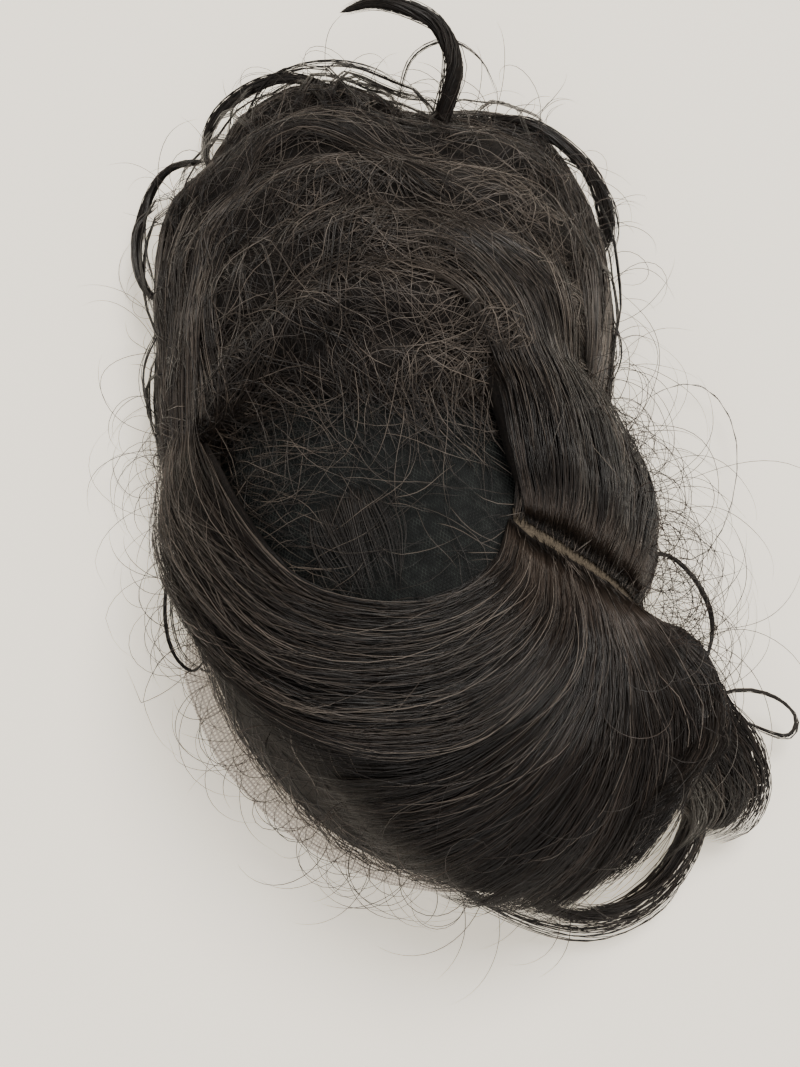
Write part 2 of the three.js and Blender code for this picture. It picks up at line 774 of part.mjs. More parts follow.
const pieces = [
  ["cap_net", capNet(), netFinish()],
  ["lace_front", laceFront(), laceFinish()],
  ["part_strip", partStrip(), scalpFinish()],
  ["crown_tuft", crownTuft(), hairFinish()],
  ["hair_underlayer", under, hairFinish()],
  ["hair_sweep", carve(sweep, curlRoom), hairFinish()],
  ["hair_fringe", carve(fringe, curlRoom), hairFinish()],
  ["hair_side_fall", carve(sideFall, curlRoom), hairFinish()],
  ["hair_back", back, hairFinish()],
  ...CURLS.map((curl, i) => [
    curl.name,
    carve(lock(curl), curlRoom.slice(i + 1)),
    hairFinish(),
  ]),
];

const wig = new THREE.Group();
for (const [name, geometry, material] of pieces) {
  const mesh = new THREE.Mesh(geometry, material);
  mesh.name = name;
  wig.add(mesh);
}

// Stands the wig on the table with the middle of its box at the origin.
const box = new THREE.Box3().setFromObject(wig);
const middle = box.getCenter(new THREE.Vector3());
wig.position.set(-middle.x, -middle.y, -box.min.z);

export default wig;
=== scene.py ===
"""Looks for a short, dark, wavy lace-front wig that stands on its rim.

Metres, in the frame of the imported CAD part. Every piece is worked out from the cap's dome, from the
parting or from the mound of back hair, which repeat the part's own named sizes.
"""

import math

import bpy
import numpy as np
from mathutils import Matrix, Vector


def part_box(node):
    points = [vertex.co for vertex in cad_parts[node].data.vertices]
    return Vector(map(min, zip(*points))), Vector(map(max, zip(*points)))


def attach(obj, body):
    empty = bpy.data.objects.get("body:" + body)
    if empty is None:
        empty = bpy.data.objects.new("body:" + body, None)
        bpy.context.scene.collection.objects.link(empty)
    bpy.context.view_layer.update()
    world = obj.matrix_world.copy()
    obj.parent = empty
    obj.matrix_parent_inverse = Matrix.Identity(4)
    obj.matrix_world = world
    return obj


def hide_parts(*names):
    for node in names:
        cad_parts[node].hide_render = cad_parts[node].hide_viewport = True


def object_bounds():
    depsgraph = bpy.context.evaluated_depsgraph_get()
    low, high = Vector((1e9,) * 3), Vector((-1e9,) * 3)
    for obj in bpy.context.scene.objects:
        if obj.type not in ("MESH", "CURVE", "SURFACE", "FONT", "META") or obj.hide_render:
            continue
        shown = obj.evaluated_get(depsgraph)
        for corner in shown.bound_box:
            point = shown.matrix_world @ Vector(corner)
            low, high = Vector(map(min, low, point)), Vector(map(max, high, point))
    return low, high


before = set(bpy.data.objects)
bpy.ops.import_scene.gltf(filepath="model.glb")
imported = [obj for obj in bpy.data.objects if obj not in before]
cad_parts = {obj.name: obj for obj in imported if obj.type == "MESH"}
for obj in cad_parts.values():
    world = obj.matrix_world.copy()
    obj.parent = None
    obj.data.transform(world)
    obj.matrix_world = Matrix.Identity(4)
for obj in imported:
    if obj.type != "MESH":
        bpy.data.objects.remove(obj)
cad_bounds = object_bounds()

# Cap sizes
CAP_WIDTH = 0.152
CAP_LENGTH = 0.204
CAP_HEIGHT = 0.098
CROWN_SAG = 0.009
FRONT_LIFT = 0.010
CAP_WALL = 0.0015
LACE_DEPTH = 0.018
LACE_MARGIN = 0.005
LACE_FLARE = 0.011
PART_WIDTH = 0.007
PART_WALL = 0.001
LACE_WALL = 0.001
CLEARANCE = 0.0008
SHOULDER = 0.9
BROW = 0.8
SAG_SIDE = -0.066
SAG_BACK = 0.216
SAG_SPREAD = 0.5
LACE_START = 1 - LACE_DEPTH / CAP_HEIGHT
LACE_END = 0.985
LACE_HELD = 0.6
NEAR_RIM = 0.985
QUARTER = math.pi / 2

# Hair sizes
UNDERLAYER = 0.003
ROOT_LAP = 0.002
LOCK_RELIEF = 0.0016
BACK_REACH = 0.212
BACK_HEIGHT = 0.098
WAVE_PITCH = 0.027
WAVE_RELIEF = 0.0032
BASE_SHRINK = 0.0012
HAIR_RADIUS = 0.00017
FINE_RADIUS = 0.00011
PART_RIDGE = 0.0008

# The cap's middle in the row frame
net_low, net_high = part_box("cap_net")
CENTRE = np.array([(net_low[0] + net_high[0]) / 2, net_high[1] - CAP_LENGTH / 2, 0.0])


def smooth(low, high, at):
    share = np.clip((np.asarray(at) - low) / (high - low), 0, 1)
    return share * share * (3 - 2 * share)


def unit(vectors):
    return vectors / np.maximum(np.linalg.norm(vectors, axis=-1, keepdims=True), 1e-9)


def rows(names, *numbers):
    """A table, as a dictionary for each row, from its columns' names and each row's numbers."""
    return [dict(zip(names.split(), row)) for row in numbers]


def column(table, name, at, key="degrees"):
    """A table's column at a key, straight between rows that are sorted by that key."""
    return np.interp(at, [row[key] for row in table], [row[name] for row in table])


def grid(first, second):
    return np.meshgrid(first, second, indexing="ij")


# The dome of the cap. A place on it is (side, back), as shares of the way down to the rim.
def dome(side, back):
    drop = np.minimum(np.hypot(side, back), 1)
    around = np.arctan2(back, side)
    out = np.sin(drop * QUARTER) ** SHOULDER
    x = out * np.cos(around)
    y = out * np.sin(around)
    rim = FRONT_LIFT * np.maximum(0, -np.sin(around)) ** 2
    rise = np.maximum(0, np.cos(drop * QUARTER)) ** BROW
    off = np.hypot(x - SAG_SIDE, (y - SAG_BACK) * CAP_LENGTH / CAP_WIDTH)
    sag = CROWN_SAG * np.exp(-((off / SAG_SPREAD) ** 2))
    height = rim + (CAP_HEIGHT - rim) * rise - sag * rise
    place = np.stack([x * CAP_WIDTH / 2, y * CAP_LENGTH / 2, height], -1)
    return place + CENTRE


def dome_normal(side, back):
    step = 0.004
    shrink = np.minimum(1, NEAR_RIM / np.maximum(np.hypot(side, back), step))
    u = side * shrink
    v = back * shrink
    along = dome(u + step, v) - dome(u - step, v)
    across = dome(u, v + step) - dome(u, v - step)
    return unit(np.cross(along, across))


def over_dome(side, back, lift):
    side, back, lift = np.broadcast_arrays(side, back, lift)
    return dome(side, back) + dome_normal(side, back) * lift[..., None]


def polar(degrees, drop):
    angle = np.radians(degrees)
    return drop * np.cos(angle), drop * np.sin(angle)


def spline(points, at):
    """Centripetal Catmull-Rom curve through points, evaluated at shares of the way.

    Points are (count, 3), or (count, samples, 3) for a curve of its own at every sample.
    """
    points = np.asarray(points, float)
    at = np.asarray(at, float)
    if points.ndim == 2:
        points = np.repeat(points[:, None, :], len(at), 1)
    count = len(points)
    place = np.clip(at, 0, 1) * (count - 1)
    first = np.minimum(place.astype(int), count - 2)
    share = (place - first)[:, None]
    ends = (2 * points[:1] - points[1:2], points, 2 * points[-1:] - points[-2:-1])
    padded = np.concatenate(ends)
    sample = np.arange(len(at))
    p0, p1, p2, p3 = (padded[first + k, sample] for k in range(4))

    def gap(a, b):
        return np.maximum(np.linalg.norm(b - a, axis=1, keepdims=True) ** 0.5, 1e-4)

    d0, d1, d2 = gap(p0, p1), gap(p1, p2), gap(p2, p3)
    start = ((p1 - p0) / d0 - (p2 - p0) / (d0 + d1) + (p2 - p1) / d1) * d1
    end = ((p2 - p1) / d1 - (p3 - p1) / (d1 + d2) + (p3 - p2) / d2) * d1
    c2 = 3 * (p2 - p1) - 2 * start - end
    c3 = 2 * (p1 - p2) + start + end
    return p1 + share * (start + share * (c2 + share * c3))


# The parting, from the crown to the wearer's left temple
PARTING = {"side": (0.26, 0.74), "back": (-0.005, -0.31), "bow": 0.008}
PARTING_SCALE = (CAP_WIDTH + CAP_LENGTH) / 4 + CAP_WALL * 8


def parting_place(along, across):
    u0, u1 = PARTING["side"]
    v0, v1 = PARTING["back"]
    bow = PARTING["bow"] * np.sin(along * math.pi)
    share = across / PARTING_SCALE / math.hypot(u1 - u0, v1 - v0)
    side = u0 + along * (u1 - u0) - bow + share * (v0 - v1)
    back = v0 + along * (v1 - v0) - bow + share * (u1 - u0)
    return side, back


# The underlayer's band from ear to ear
UNDERLAYER_ROWS = rows(
    "degrees from to",
    (-235, 0.72, 0.97),
    (-210, 0.5, 0.92),
    (-180, 0.36, 0.9),
    (-150, 0.36, 0.9),
    (-120, 0.4, 0.91),
    (-75, 0.46, 0.92),
    (-45, 0.66, 0.92),
    (-30, 0.86, 0.93),
    (-16, 0.86, 0.93),
    (0, 0.62, 0.93),
    (18, 0.6, 0.94),
    (36, 0.6, 0.98),
)


def underlayer_seat(drop):
    return CLEARANCE + (CLEARANCE + LACE_WALL) * smooth(0.5, LACE_START - 0.02, drop)


def sheet_foot(side, back):
    """The lift at which a sheet of hair clears the parting, and the underlayer where there is one."""
    plain = CLEARANCE * 2 + PART_WALL
    drop = np.hypot(side, back)
    first, last = UNDERLAYER_ROWS[0]["degrees"], UNDERLAYER_ROWS[-1]["degrees"]
    turned = np.degrees(np.arctan2(back, side))
    degrees = np.where(turned > (first + last) / 2 + 180, turned - 360, turned)
    start = column(UNDERLAYER_ROWS, "from", degrees)
    ends = smooth(first - 7, first - 1, degrees) * (1 - smooth(last + 1, last + 7, degrees))
    over = ends * smooth(start - 0.07, start - 0.02, drop)
    top = underlayer_seat(drop) + UNDERLAYER + CLEARANCE
    return plain + np.maximum(0, top - plain) * over


# Sheets of hair. A guide gives the places that the hair passes, and a root its share of the parting.
SWEEP = dict(
    thickness=0.008,
    locks=4,
    root_side=-1,
    guides=[
        dict(
            side=[0.25, 0.13, -0.07, -0.27, -0.37, -0.44], back=[0.01, -0.07, -0.07, 0.04, 0.27, 0.62],
            rise=[0, 0.2, 0.3, 0.4, 0.5, 0.4],
        ),
        dict(
            root=0.07, side=[0.15, -0.09, -0.35, -0.5, -0.53], back=[-0.14, -0.15, -0.03, 0.27, 0.65],
            rise=[0.2, 0.3, 0.5, 0.6, 0.5],
        ),
        dict(
            root=0.14, side=[0.17, -0.09, -0.38, -0.57, -0.64], back=[-0.2, -0.24, -0.12, 0.18, 0.6],
            rise=[0.3, 0.5, 0.6, 0.6, 0.5],
        ),
        dict(
            root=0.21, side=[0.19, -0.08, -0.36, -0.58, -0.74], back=[-0.25, -0.32, -0.21, 0.04, 0.44],
            rise=[0.4, 0.6, 0.6, 0.6, 0.5],
        ),
    ],
)

FRINGE = dict(
    thickness=0.009,
    locks=6,
    root_side=-1,
    guides=[
        dict(
            root=0.24, side=[0.205, -0.07, -0.33, -0.54], back=[-0.285, -0.365, -0.35, -0.3],
            rise=[0.3, 0.4, 0.3, 0.1],
        ),
        dict(
            root=0.33, side=[0.24, 0, -0.25, -0.42], back=[-0.37, -0.51, -0.58, -0.6],
            rise=[0.3, 0.3, 0.2, 0.1],
        ),
        dict(
            root=0.43, side=[0.33, 0.14, -0.08, -0.23], back=[-0.45, -0.67, -0.79, -0.83],
            rise=[0.4, 0.4, 0.3, 0.1],
        ),
        dict(
            root=0.55, side=[0.46, 0.32, 0.15, 0.02], back=[-0.5, -0.68, -0.77, -0.8],
            rise=[0.6, 0.8, 0.8, 0.6],
        ),
        dict(
            root=0.74, side=[0.6, 0.49, 0.36, 0.24], back=[-0.44, -0.54, -0.58, -0.6],
            rise=[1, 1.5, 1.6, 1.4],
        ),
        dict(
            root=0.98, side=[0.75, 0.68, 0.59, 0.47], back=[-0.41, -0.52, -0.61, -0.65],
            rise=[1.1, 2, 2.5, 2.5],
        ),
    ],
)

SIDE_FALL = dict(
    thickness=0.009,
    locks=4,
    root_side=1,
    guides=[
        dict(root=0.05, side=[0.31, 0.35, 0.35], back=[0.12, 0.27, 0.43], rise=[0.6, 1.1, 1.4]),
        dict(root=0.25, side=[0.42, 0.46, 0.46], back=[0.08, 0.24, 0.42], rise=[0.6, 1, 1.4]),
        dict(root=0.48, side=[0.55, 0.58, 0.55], back=[0.02, 0.21, 0.41], rise=[0.4, 0.7, 1.2]),
        dict(root=0.75, side=[0.7, 0.74, 0.68], back=[-0.04, 0.16, 0.37], rise=[0.2, 0.3, 0.8]),
        dict(root=1, side=[0.86, 0.9, 0.85], back=[-0.12, 0.1, 0.34], rise=[0, 0.1, 0.3]),
    ],
)

# Hair between the sweep and the fringe, which takes its guides from both
BRIDGE = dict(thickness=0.008, locks=3, root_side=-1, guides=SWEEP["guides"][2:] + FRINGE["guides"][:2])


def guide_points(guide, root_side):
    points = [list(place) for place in zip(guide["side"], guide["back"], guide["rise"])]
    if "root" in guide:
        side, back = parting_place(guide["root"], root_side * (PART_WIDTH / 2 - ROOT_LAP))
        points.insert(0, [side, back, 0])
    return points


def sheet_point(shape, across, along, depth, extra=0.0):
    """Points in a sheet of hair: depth is 0 on its underside and 1 on its top."""
    across, along, depth, extra = np.broadcast_arrays(across, along, depth, extra)
    form = across.shape
    across, along, depth, extra = (a.ravel() for a in (across, along, depth, extra))
    lanes = [spline(guide_points(g, shape["root_side"]), along) for g in shape["guides"]]
    place = spline(np.stack(lanes), across)
    thickness = shape["thickness"]
    relief = LOCK_RELIEF * np.cos(2 * math.pi * shape["locks"] * across + 2 * along)
    crown = 1 - 0.75 * np.abs(2 * across - 1) ** 4
    taper = smooth(-0.12, 0.3, along) * (1 - 0.7 * smooth(0.75, 1, along))
    height = (thickness + relief) * crown * taper + 0.001
    rise = np.maximum(0, place[:, 2]) * thickness
    foot = sheet_foot(place[:, 0], place[:, 1])
    bottom = foot + rise * (0.3 + 0.5 * smooth(0.7, 1, along))
    lift = bottom + (foot + rise + height - bottom) * depth + extra
    return over_dome(place[:, 0], place[:, 1], lift).reshape(form + (3,))


# The mound of hair behind the crown
BACK_ROWS = rows(
    "degrees from reach crest",
    (16, 0.42, 0.45, 0.2),
    (22, 0.39, 0.5, 0.42),
    (29, 0.35, 0.59, 0.62),
    (35, 0.32, 0.68, 0.8),
    (39, 0.3, 0.76, 0.87),
    (43, 0.29, 0.82, 0.91),
    (47, 0.28, 0.87, 0.94),
    (52, 0.27, 0.91, 0.97),
    (60, 0.26, 0.94, 1),
    (68, 0.26, 0.95, 1),
    (74, 0.26, 0.98, 1),
    (81, 0.27, 1, 0.98),
    (87, 0.28, 0.99, 0.96),
    (92, 0.3, 0.93, 0.93),
    (98, 0.33, 0.875, 0.9),
    (105, 0.36, 0.775, 0.86),
    (113, 0.385, 0.66, 0.78),
    (122, 0.4, 0.565, 0.64),
    (131, 0.41, 0.5, 0.5),
    (140, 0.4, 0.45, 0.34),
)
BACK_PROFILE = rows(
    "out height",
    (0, 0.84),
    (0.08, 0.93),
    (0.2, 1),
    (0.34, 0.95),
    (0.5, 0.82),
    (0.66, 0.67),
    (0.8, 0.51),
    (0.9, 0.36),
    (0.96, 0.22),
    (1, 0.05),
)
BACK_FIRST = BACK_ROWS[0]["degrees"]
BACK_LAST = BACK_ROWS[-1]["degrees"]


def mound_radius(degrees, out):
    start = column(BACK_ROWS, "from", degrees) * BACK_REACH
    reach = column(BACK_ROWS, "reach", degrees) * BACK_REACH
    ripple = 0.025 * np.sin(np.radians(degrees * 15))
    return start + out * (reach - start) * (1 + ripple * out)


def mound_point(degrees, out, lift=0.0):
    """Points over the mound. Out is 0 at the net's edge and 1 on the table."""
    degrees, out, lift = np.broadcast_arrays(degrees, out, lift)
    radius = mound_radius(degrees, out)
    angle = np.radians(degrees)
    wave = np.sin(2 * math.pi * radius / WAVE_PITCH + 1.4 * np.sin(3 * angle))
    level = column(BACK_PROFILE, "height", out, key="out")
    calm = smooth(0, 0.1, out) * (1 - smooth(0.88, 1, out))
    turn = (degrees - BACK_FIRST) / (BACK_LAST - BACK_FIRST)
    end = np.clip(np.minimum(turn, 1 - turn) / 0.06, 0, 1) ** 0.5
    crest = column(BACK_ROWS, "crest", degrees) * (0.35 + 0.65 * end)
    height = crest * (BACK_HEIGHT * level + WAVE_RELIEF * wave * calm)
    place = np.stack([radius * np.cos(angle), radius * np.sin(angle), height + lift], -1)
    return place + CENTRE


# Curls and loose locks, as places that each one passes. Body is how much of one is a dark core.
CURLS = dict(
    curl_crown_loop=dict(
        thick=0.0085, body=0.36, side=[0.94, 1.1, 1.2, 1.18, 1.07, 0.93, 0.76],
        back=[1.52, 1.63, 1.72, 1.84, 1.92, 2, 2.04], up=[0.3, 0.43, 0.53, 0.61, 0.65, 0.65, 0.59],
    ),
    curl_nape_arc=dict(
        thick=0.005, body=0.36, side=[0.73, 0.59, 0.42, 0.23, 0.05, -0.07, -0.1],
        back=[1.84, 1.97, 2.07, 2.1, 2.07, 1.97, 1.82], up=[0.24, 0.27, 0.24, 0.18, 0.14, 0.12, 0.14],
    ),
    curl_right_loop=dict(
        thick=0.0046, body=0.28, side=[-0.09, -0.27, -0.43, -0.57, -0.63, -0.63, -0.54],
        back=[1.88, 1.92, 1.85, 1.72, 1.6, 1.49, 1.36], up=[0.18, 0.18, 0.16, 0.12, 0.12, 0.14, 0.2],
    ),
    curl_left_loop=dict(
        thick=0.006, body=0.28, side=[1.28, 1.45, 1.58, 1.67, 1.67, 1.61, 1.46],
        back=[1.57, 1.49, 1.37, 1.22, 1.08, 0.97, 0.91], up=[0.31, 0.35, 0.33, 0.29, 0.22, 0.18, 0.2],
    ),
    curl_left_side=dict(
        thick=0.0065, body=0.36, side=[1.26, 1.38, 1.38, 1.3, 1.18, 1.06],
        back=[0.84, 0.76, 0.61, 0.49, 0.43, 0.43], up=[0.27, 0.27, 0.22, 0.18, 0.17, 0.22],
    ),
    curl_front=dict(
        thick=0.011, body=0.18, side=[0.62, 0.7, 0.78, 0.74, 0.56, 0.31, 0.11, -0.03, -0.1],
        back=[-0.86, -0.92, -1.03, -1.14, -1.25, -1.29, -1.25, -1.16, -1.06],
        up=[0.7, 0.54, 0.33, 0.18, 0.11, 0.09, 0.09, 0.13, 0.19],
    ),
    curl_temple_puff=dict(
        thick=0.024, body=0.4, side=[0.9, 1.02, 1.04, 0.96, 0.83], back=[-0.72, -0.86, -0.98, -1.09, -1.14],
        up=[0.42, 0.3, 0.21, 0.15, 0.14],
    ),
    lock_left_arc=dict(
        thick=0.002, body=0.14, side=[1.02, 1.14, 1.24, 1.26, 1.17, 1.04],
        back=[-0.22, -0.23, -0.34, -0.49, -0.6, -0.66], up=[0.47, 0.41, 0.33, 0.27, 0.27, 0.33],
    ),
    lock_left_loop=dict(
        thick=0.002, body=0.1, side=[1.02, 1.24, 1.41, 1.47, 1.4, 1.28, 1.08],
        back=[-0.74, -0.75, -0.83, -0.93, -0.98, -0.91, -0.77],
        up=[0.33, 0.24, 0.18, 0.13, 0.12, 0.14, 0.25],
    ),
    lock_right_loop=dict(
        thick=0.0018, body=0.14, side=[-0.93, -1.03, -1.13, -1.17, -1.12, -1.03],
        back=[0.4, 0.4, 0.3, 0.16, 0.06, 0.07], up=[0.4, 0.35, 0.25, 0.22, 0.24, 0.33],
    ),
)

# Thin arcs of a few hairs that stand off the outline
ARCS = dict(
    top_arch=dict(
        thick=0.0022, side=[0.91, 1.03, 1.21, 1.34, 1.39], back=[1.76, 1.84, 1.8, 1.71, 1.6],
        up=[0.31, 0.46, 0.56, 0.49, 0.31],
    ),
    left_arch=dict(
        thick=0.0026, side=[0.11, 0.34, 0.65, 0.88, 0.98], back=[1.9, 2, 1.94, 1.83, 1.74],
        up=[0.26, 0.39, 0.46, 0.43, 0.33],
    ),
    right_low_arc=dict(
        thick=0.0024, side=[-0.4, -0.56, -0.64, -0.59], back=[1.78, 1.71, 1.51, 1.33],
        up=[0.2, 0.22, 0.22, 0.27],
    ),
    left_outer_arc=dict(
        thick=0.003, side=[1.52, 1.68, 1.66, 1.5], back=[1.38, 1.18, 0.98, 0.84],
        up=[0.26, 0.29, 0.29, 0.29],
    ),
    left_low_arc=dict(
        thick=0.0026, side=[1.38, 1.44, 1.4, 1.16], back=[0.84, 0.72, 0.52, 0.38],
        up=[0.26, 0.26, 0.26, 0.26],
    ),
    right_side_arc=dict(
        thick=0.0022, side=[-0.6, -0.8, -0.84, -0.72], back=[1.3, 1.17, 1, 0.84],
        up=[0.31, 0.26, 0.28, 0.34],
    ),
    ear_loop=dict(
        thick=0.0014, side=[-0.86, -1.08, -1.14, -1.04, -0.9], back=[0.42, 0.33, 0.14, 0.04, 0.12],
        up=[0.46, 0.26, 0.16, 0.14, 0.24],
    ),
    front_arc=dict(
        thick=0.006, side=[-0.46, -0.15, 0.17, 0.54, 0.72], back=[-0.88, -1.17, -1.33, -1.31, -1.16],
        up=[0.26, 0.15, 0.1, 0.12, 0.2],
    ),
    temple_ring=dict(
        thick=0.0004, side=[1.08, 1.35, 1.66, 1.85, 1.78, 1.5, 1.2],
        back=[-0.18, -0.28, -0.11, 0.16, 0.36, 0.38, 0.26], up=[0.36, 0.2, 0.12, 0.08, 0.08, 0.1, 0.24],
    ),
)


def curl_places(curl):
    scale = np.array([CAP_WIDTH / 2, CAP_LENGTH / 2, CAP_HEIGHT])
    return np.stack([curl["side"], curl["back"], curl["up"]], -1) * scale + CENTRE


# Meshes
def mesh_object(name, points, faces, values=None):
    """An object from arrays. Values are named numbers for each point, for its material to read."""
    mesh = bpy.data.meshes.new(name)
    corners = faces.shape[1]
    mesh.vertices.add(len(points))
    mesh.vertices.foreach_set("co", np.ascontiguousarray(points, np.float32).ravel())
    mesh.loops.add(faces.size)
    mesh.loops.foreach_set("vertex_index", np.ascontiguousarray(faces, np.int32).ravel())
    mesh.polygons.add(len(faces))
    mesh.polygons.foreach_set("loop_start", np.arange(0, faces.size, corners, dtype=np.int32))
    mesh.update(calc_edges=True)
    for key, numbers in (values or {}).items():
        attribute = mesh.attributes.new(key, "FLOAT", "POINT")
        attribute.data.foreach_set("value", np.ascontiguousarray(numbers, np.float32).ravel())
    made = bpy.data.objects.new(name, mesh)
    bpy.context.scene.collection.objects.link(made)
    return made


def facing_out(points, faces):
    """Faces of a closed shape of triangles or quads, turned so that they face out."""
    total = 0
    for k in range(1, faces.shape[1] - 1):
        a, b, c = points[faces[:, 0]], points[faces[:, k]], points[faces[:, k + 1]]
        total += np.einsum("ij,ij->", a, np.cross(b, c))
    return faces if total > 0 else faces[:, ::-1]


def slab_object(name, top, bottom, values=None):
    """A closed sheet between two grids of points. Values are given for the grid's points."""
    lines, columns = top.shape[:2]
    size = lines * columns
    i = np.arange(lines - 1) * columns
    j = np.arange(columns - 1)
    corner = (i[:, None] + j).ravel()
    upper = np.stack([corner, corner + columns, corner + columns + 1, corner + 1], -1)
    lower = upper[:, ::-1] + size
    last_line = (lines - 1) * columns
    rims = [
        (i + columns, i),
        (i + columns - 1, i + 2 * columns - 1),
        (j, j + 1),
        (last_line + j + 1, last_line + j),
    ]
    walls = [np.stack([a, b, b + size, a + size], -1) for a, b in rims]
    points = np.concatenate([top.reshape(-1, 3), bottom.reshape(-1, 3)])
    faces = facing_out(points, np.concatenate([upper, lower, *walls]))
    both = {key: np.concatenate([v.ravel(), v.ravel()]) for key, v in (values or {}).items()}
    return mesh_object(name, points, faces, both)


def ringed_faces(rings, sides):
    """Triangles of a tube that starts and ends in one point, with rings of sides between."""
    last = 1 + (rings - 2) * sides
    faces = []
    for k in range(sides):
        n = (k + 1) % sides
        faces.append([0, 1 + n, 1 + k])
        faces.append([last, last - sides + k, last - sides + n])
        for low in range(1, last - sides, sides):
            faces.append([low + k, low + n, low + sides + n])
            faces.append([low + k, low + sides + n, low + sides + k])
    return np.array(faces)


def loft_points(walls):
    """A loft's points. The first and last rings of its walls stand for a single point each."""
    return np.concatenate([walls[0, :1], walls[1:-1].reshape(-1, 3), walls[-1, :1]])


def loft_object(name, walls, values=None):
    """One closed tube through rings of points."""
    points = loft_points(walls)
    return mesh_object(name, points, facing_out(points, ringed_faces(*walls.shape[:2])), values)


STRAND_SIDES = 3


def tube_object(name, paths, radii, shades):
    """Every path as a closed tube of three sides that ends in a point, all in one mesh."""
    count, rings = paths.shape[:2]
    ahead = unit(np.gradient(paths, axis=1))
    side = np.zeros_like(paths)
    side[:, 0] = np.cross(ahead[:, 0], [0.3, 0.2, 0.93])
    for k in range(1, rings):
        before = side[:, k - 1]
        side[:, k] = before - (before * ahead[:, k]).sum(-1, keepdims=True) * ahead[:, k]
    side = unit(side)
    other = np.cross(ahead, side)
    turns = np.arange(STRAND_SIDES)[:, None] * 2 * math.pi / STRAND_SIDES
    wheel = side[:, :, None] * np.cos(turns) + other[:, :, None] * np.sin(turns)
    walls = (paths[:, :, None] + wheel * radii[:, :, None, None])[:, 1:-1]
    points = np.concatenate([paths[:, :1], walls.reshape(count, -1, 3), paths[:, -1:]], axis=1)
    inner = np.repeat(shades[:, 1:-1], STRAND_SIDES, axis=1)
    values = np.concatenate([shades[:, :1], inner, shades[:, -1:]], axis=1)
    firsts = np.arange(count)[:, None, None] * points.shape[1]
    faces = ringed_faces(rings, STRAND_SIDES)[None] + firsts
    return mesh_object(name, points.reshape(-1, 3), faces.reshape(-1, 3), {"shade": values})


def start_hairs(seed, rings):
    """A seeded source of random numbers, and how far along a hair each of its rings is."""
    return np.random.default_rng(seed), np.linspace(0, 1, rings)[None]


def hair_widths(count, rings, rng, radius):
    """Each hair swells from its root and thins to its tip."""
    t = np.linspace(0, 1, rings)[None]
    size = radius * rng.uniform(0.7, 1.25, (count, 1))
    return size * (0.55 + 0.45 * np.minimum(1, t / 0.15)) * (1 - 0.75 * smooth(0.55, 1, t))


def hair_shades(count, rings, rng, group=None):
    """A brightness for each hair, near to that of its lock, that shifts a little along it."""
    own = rng.random((count, 1)) ** 1.6
    if group is not None:
        shared = rng.random(group.max() + 1) ** 1.4
        own = 0.55 * own + 0.45 * shared[group][:, None]
    t = np.linspace(0, 1, rings)[None]
    turns = t * rng.uniform(0.4, 1.5, (count, 1)) + rng.random((count, 1))
    return np.clip(own + 0.12 * np.sin(2 * math.pi * turns), 0, 1)


# Materials, with colours as linear red, green and blue
class Look:
    """A material, built up from nodes that feed its one shader."""

    def __init__(self, name, roughness, specular):
        self.material = bpy.data.materials.new(name)
        self.material.use_nodes = True
        self.tree = self.material.node_tree
        self.finish = self.tree.nodes["Principled BSDF"]
        self.fill(self.finish, {"Roughness": roughness, "Specular IOR Level": specular})

    def fill(self, node, inputs):
        """Sets a node's sockets, each to a number or colour or to another node's output."""
        for key, value in inputs.items():
            if isinstance(value, bpy.types.NodeSocket):
                self.tree.links.new(value, node.inputs[key])
            else:
                node.inputs[key].default_value = value

    def add(self, kind, inputs):
        made = self.tree.nodes.new("ShaderNode" + kind)
        self.fill(made, inputs)
        return made

    def attribute(self, name):
        made = self.add("Attribute", {})
        made.attribute_name = name
        return made.outputs["Fac"]

    def maths(self, operation, first, second):
        made = self.add("Math", {})
        made.operation = operation
        self.fill(made, {0: first, 1: second})
        return made.outputs[0]

    def noise(self, scale):
        place = self.add("TexCoord", {}).outputs["Object"]
        return self.add("TexNoise", {"Scale": scale, "Detail": 4, "Vector": place}).outputs["Fac"]

    def spread(self, value, low, high, at_low, at_high):
        ends = {"From Min": low, "From Max": high, "To Min": at_low, "To Max": at_high}
        return self.add("MapRange", {"Value": value, **ends}).outputs["Result"]

    def colour(self, value, stops):
        """Colours the surface by a value, through stops of place and colour."""
        made = self.add("ValToRGB", {"Fac": value})
        first, last = made.color_ramp.elements
        first.position, last.position = stops[0][0], stops[-1][0]
        first.color, last.color = (*stops[0][1], 1), (*stops[-1][1], 1)
        for place, colour in stops[1:-1]:
            made.color_ramp.elements.new(place).color = (*colour, 1)
        self.fill(self.finish, {"Base Color": made.outputs["Color"]})

    def bump(self, height, strength, distance):
        made = self.add("Bump", {"Strength": strength, "Distance": distance, "Height": height})
        self.fill(self.finish, {"Normal": made.outputs["Normal"]})

    def threads(self):
        """How near a place is to the thread round its cell: 0 on it and 0.5 in the cell's middle."""
        cells = [self.attribute(name) for name in ("across_cells", "down_cells")]
        return self.maths("MINIMUM", *(self.maths("PINGPONG", cell, 0.5) for cell in cells))


def hair_look(name, stops, roughness, specular):
    """Hair whose colour goes by each strand's own shade."""
    look = Look(name, roughness, specular)
    look.colour(look.attribute("shade"), stops)
    return look.material


def rough_look(name, dark, light, scale, roughness, bump_depth):
    """A dull surface with fine mottling and a fine bump."""
    look = Look(name, roughness, 0.2)
    noise = look.noise(scale)
    look.colour(noise, [(0.3, dark), (0.75, light)])
    look.bump(noise, 0.8, bump_depth)
    return look.material


def lace_look():
    """Sheer lace: square cells of thread with open middles. Cells are counted in its attributes."""
    look = Look("sheer lace", 0.75, 0.2)
    cover = look.spread(look.threads(), 0.08, 0.2, 0.62, 0.14)
    look.fill(look.finish, {"Alpha": cover, "Base Color": (0.34, 0.285, 0.25, 1)})
    return look.material


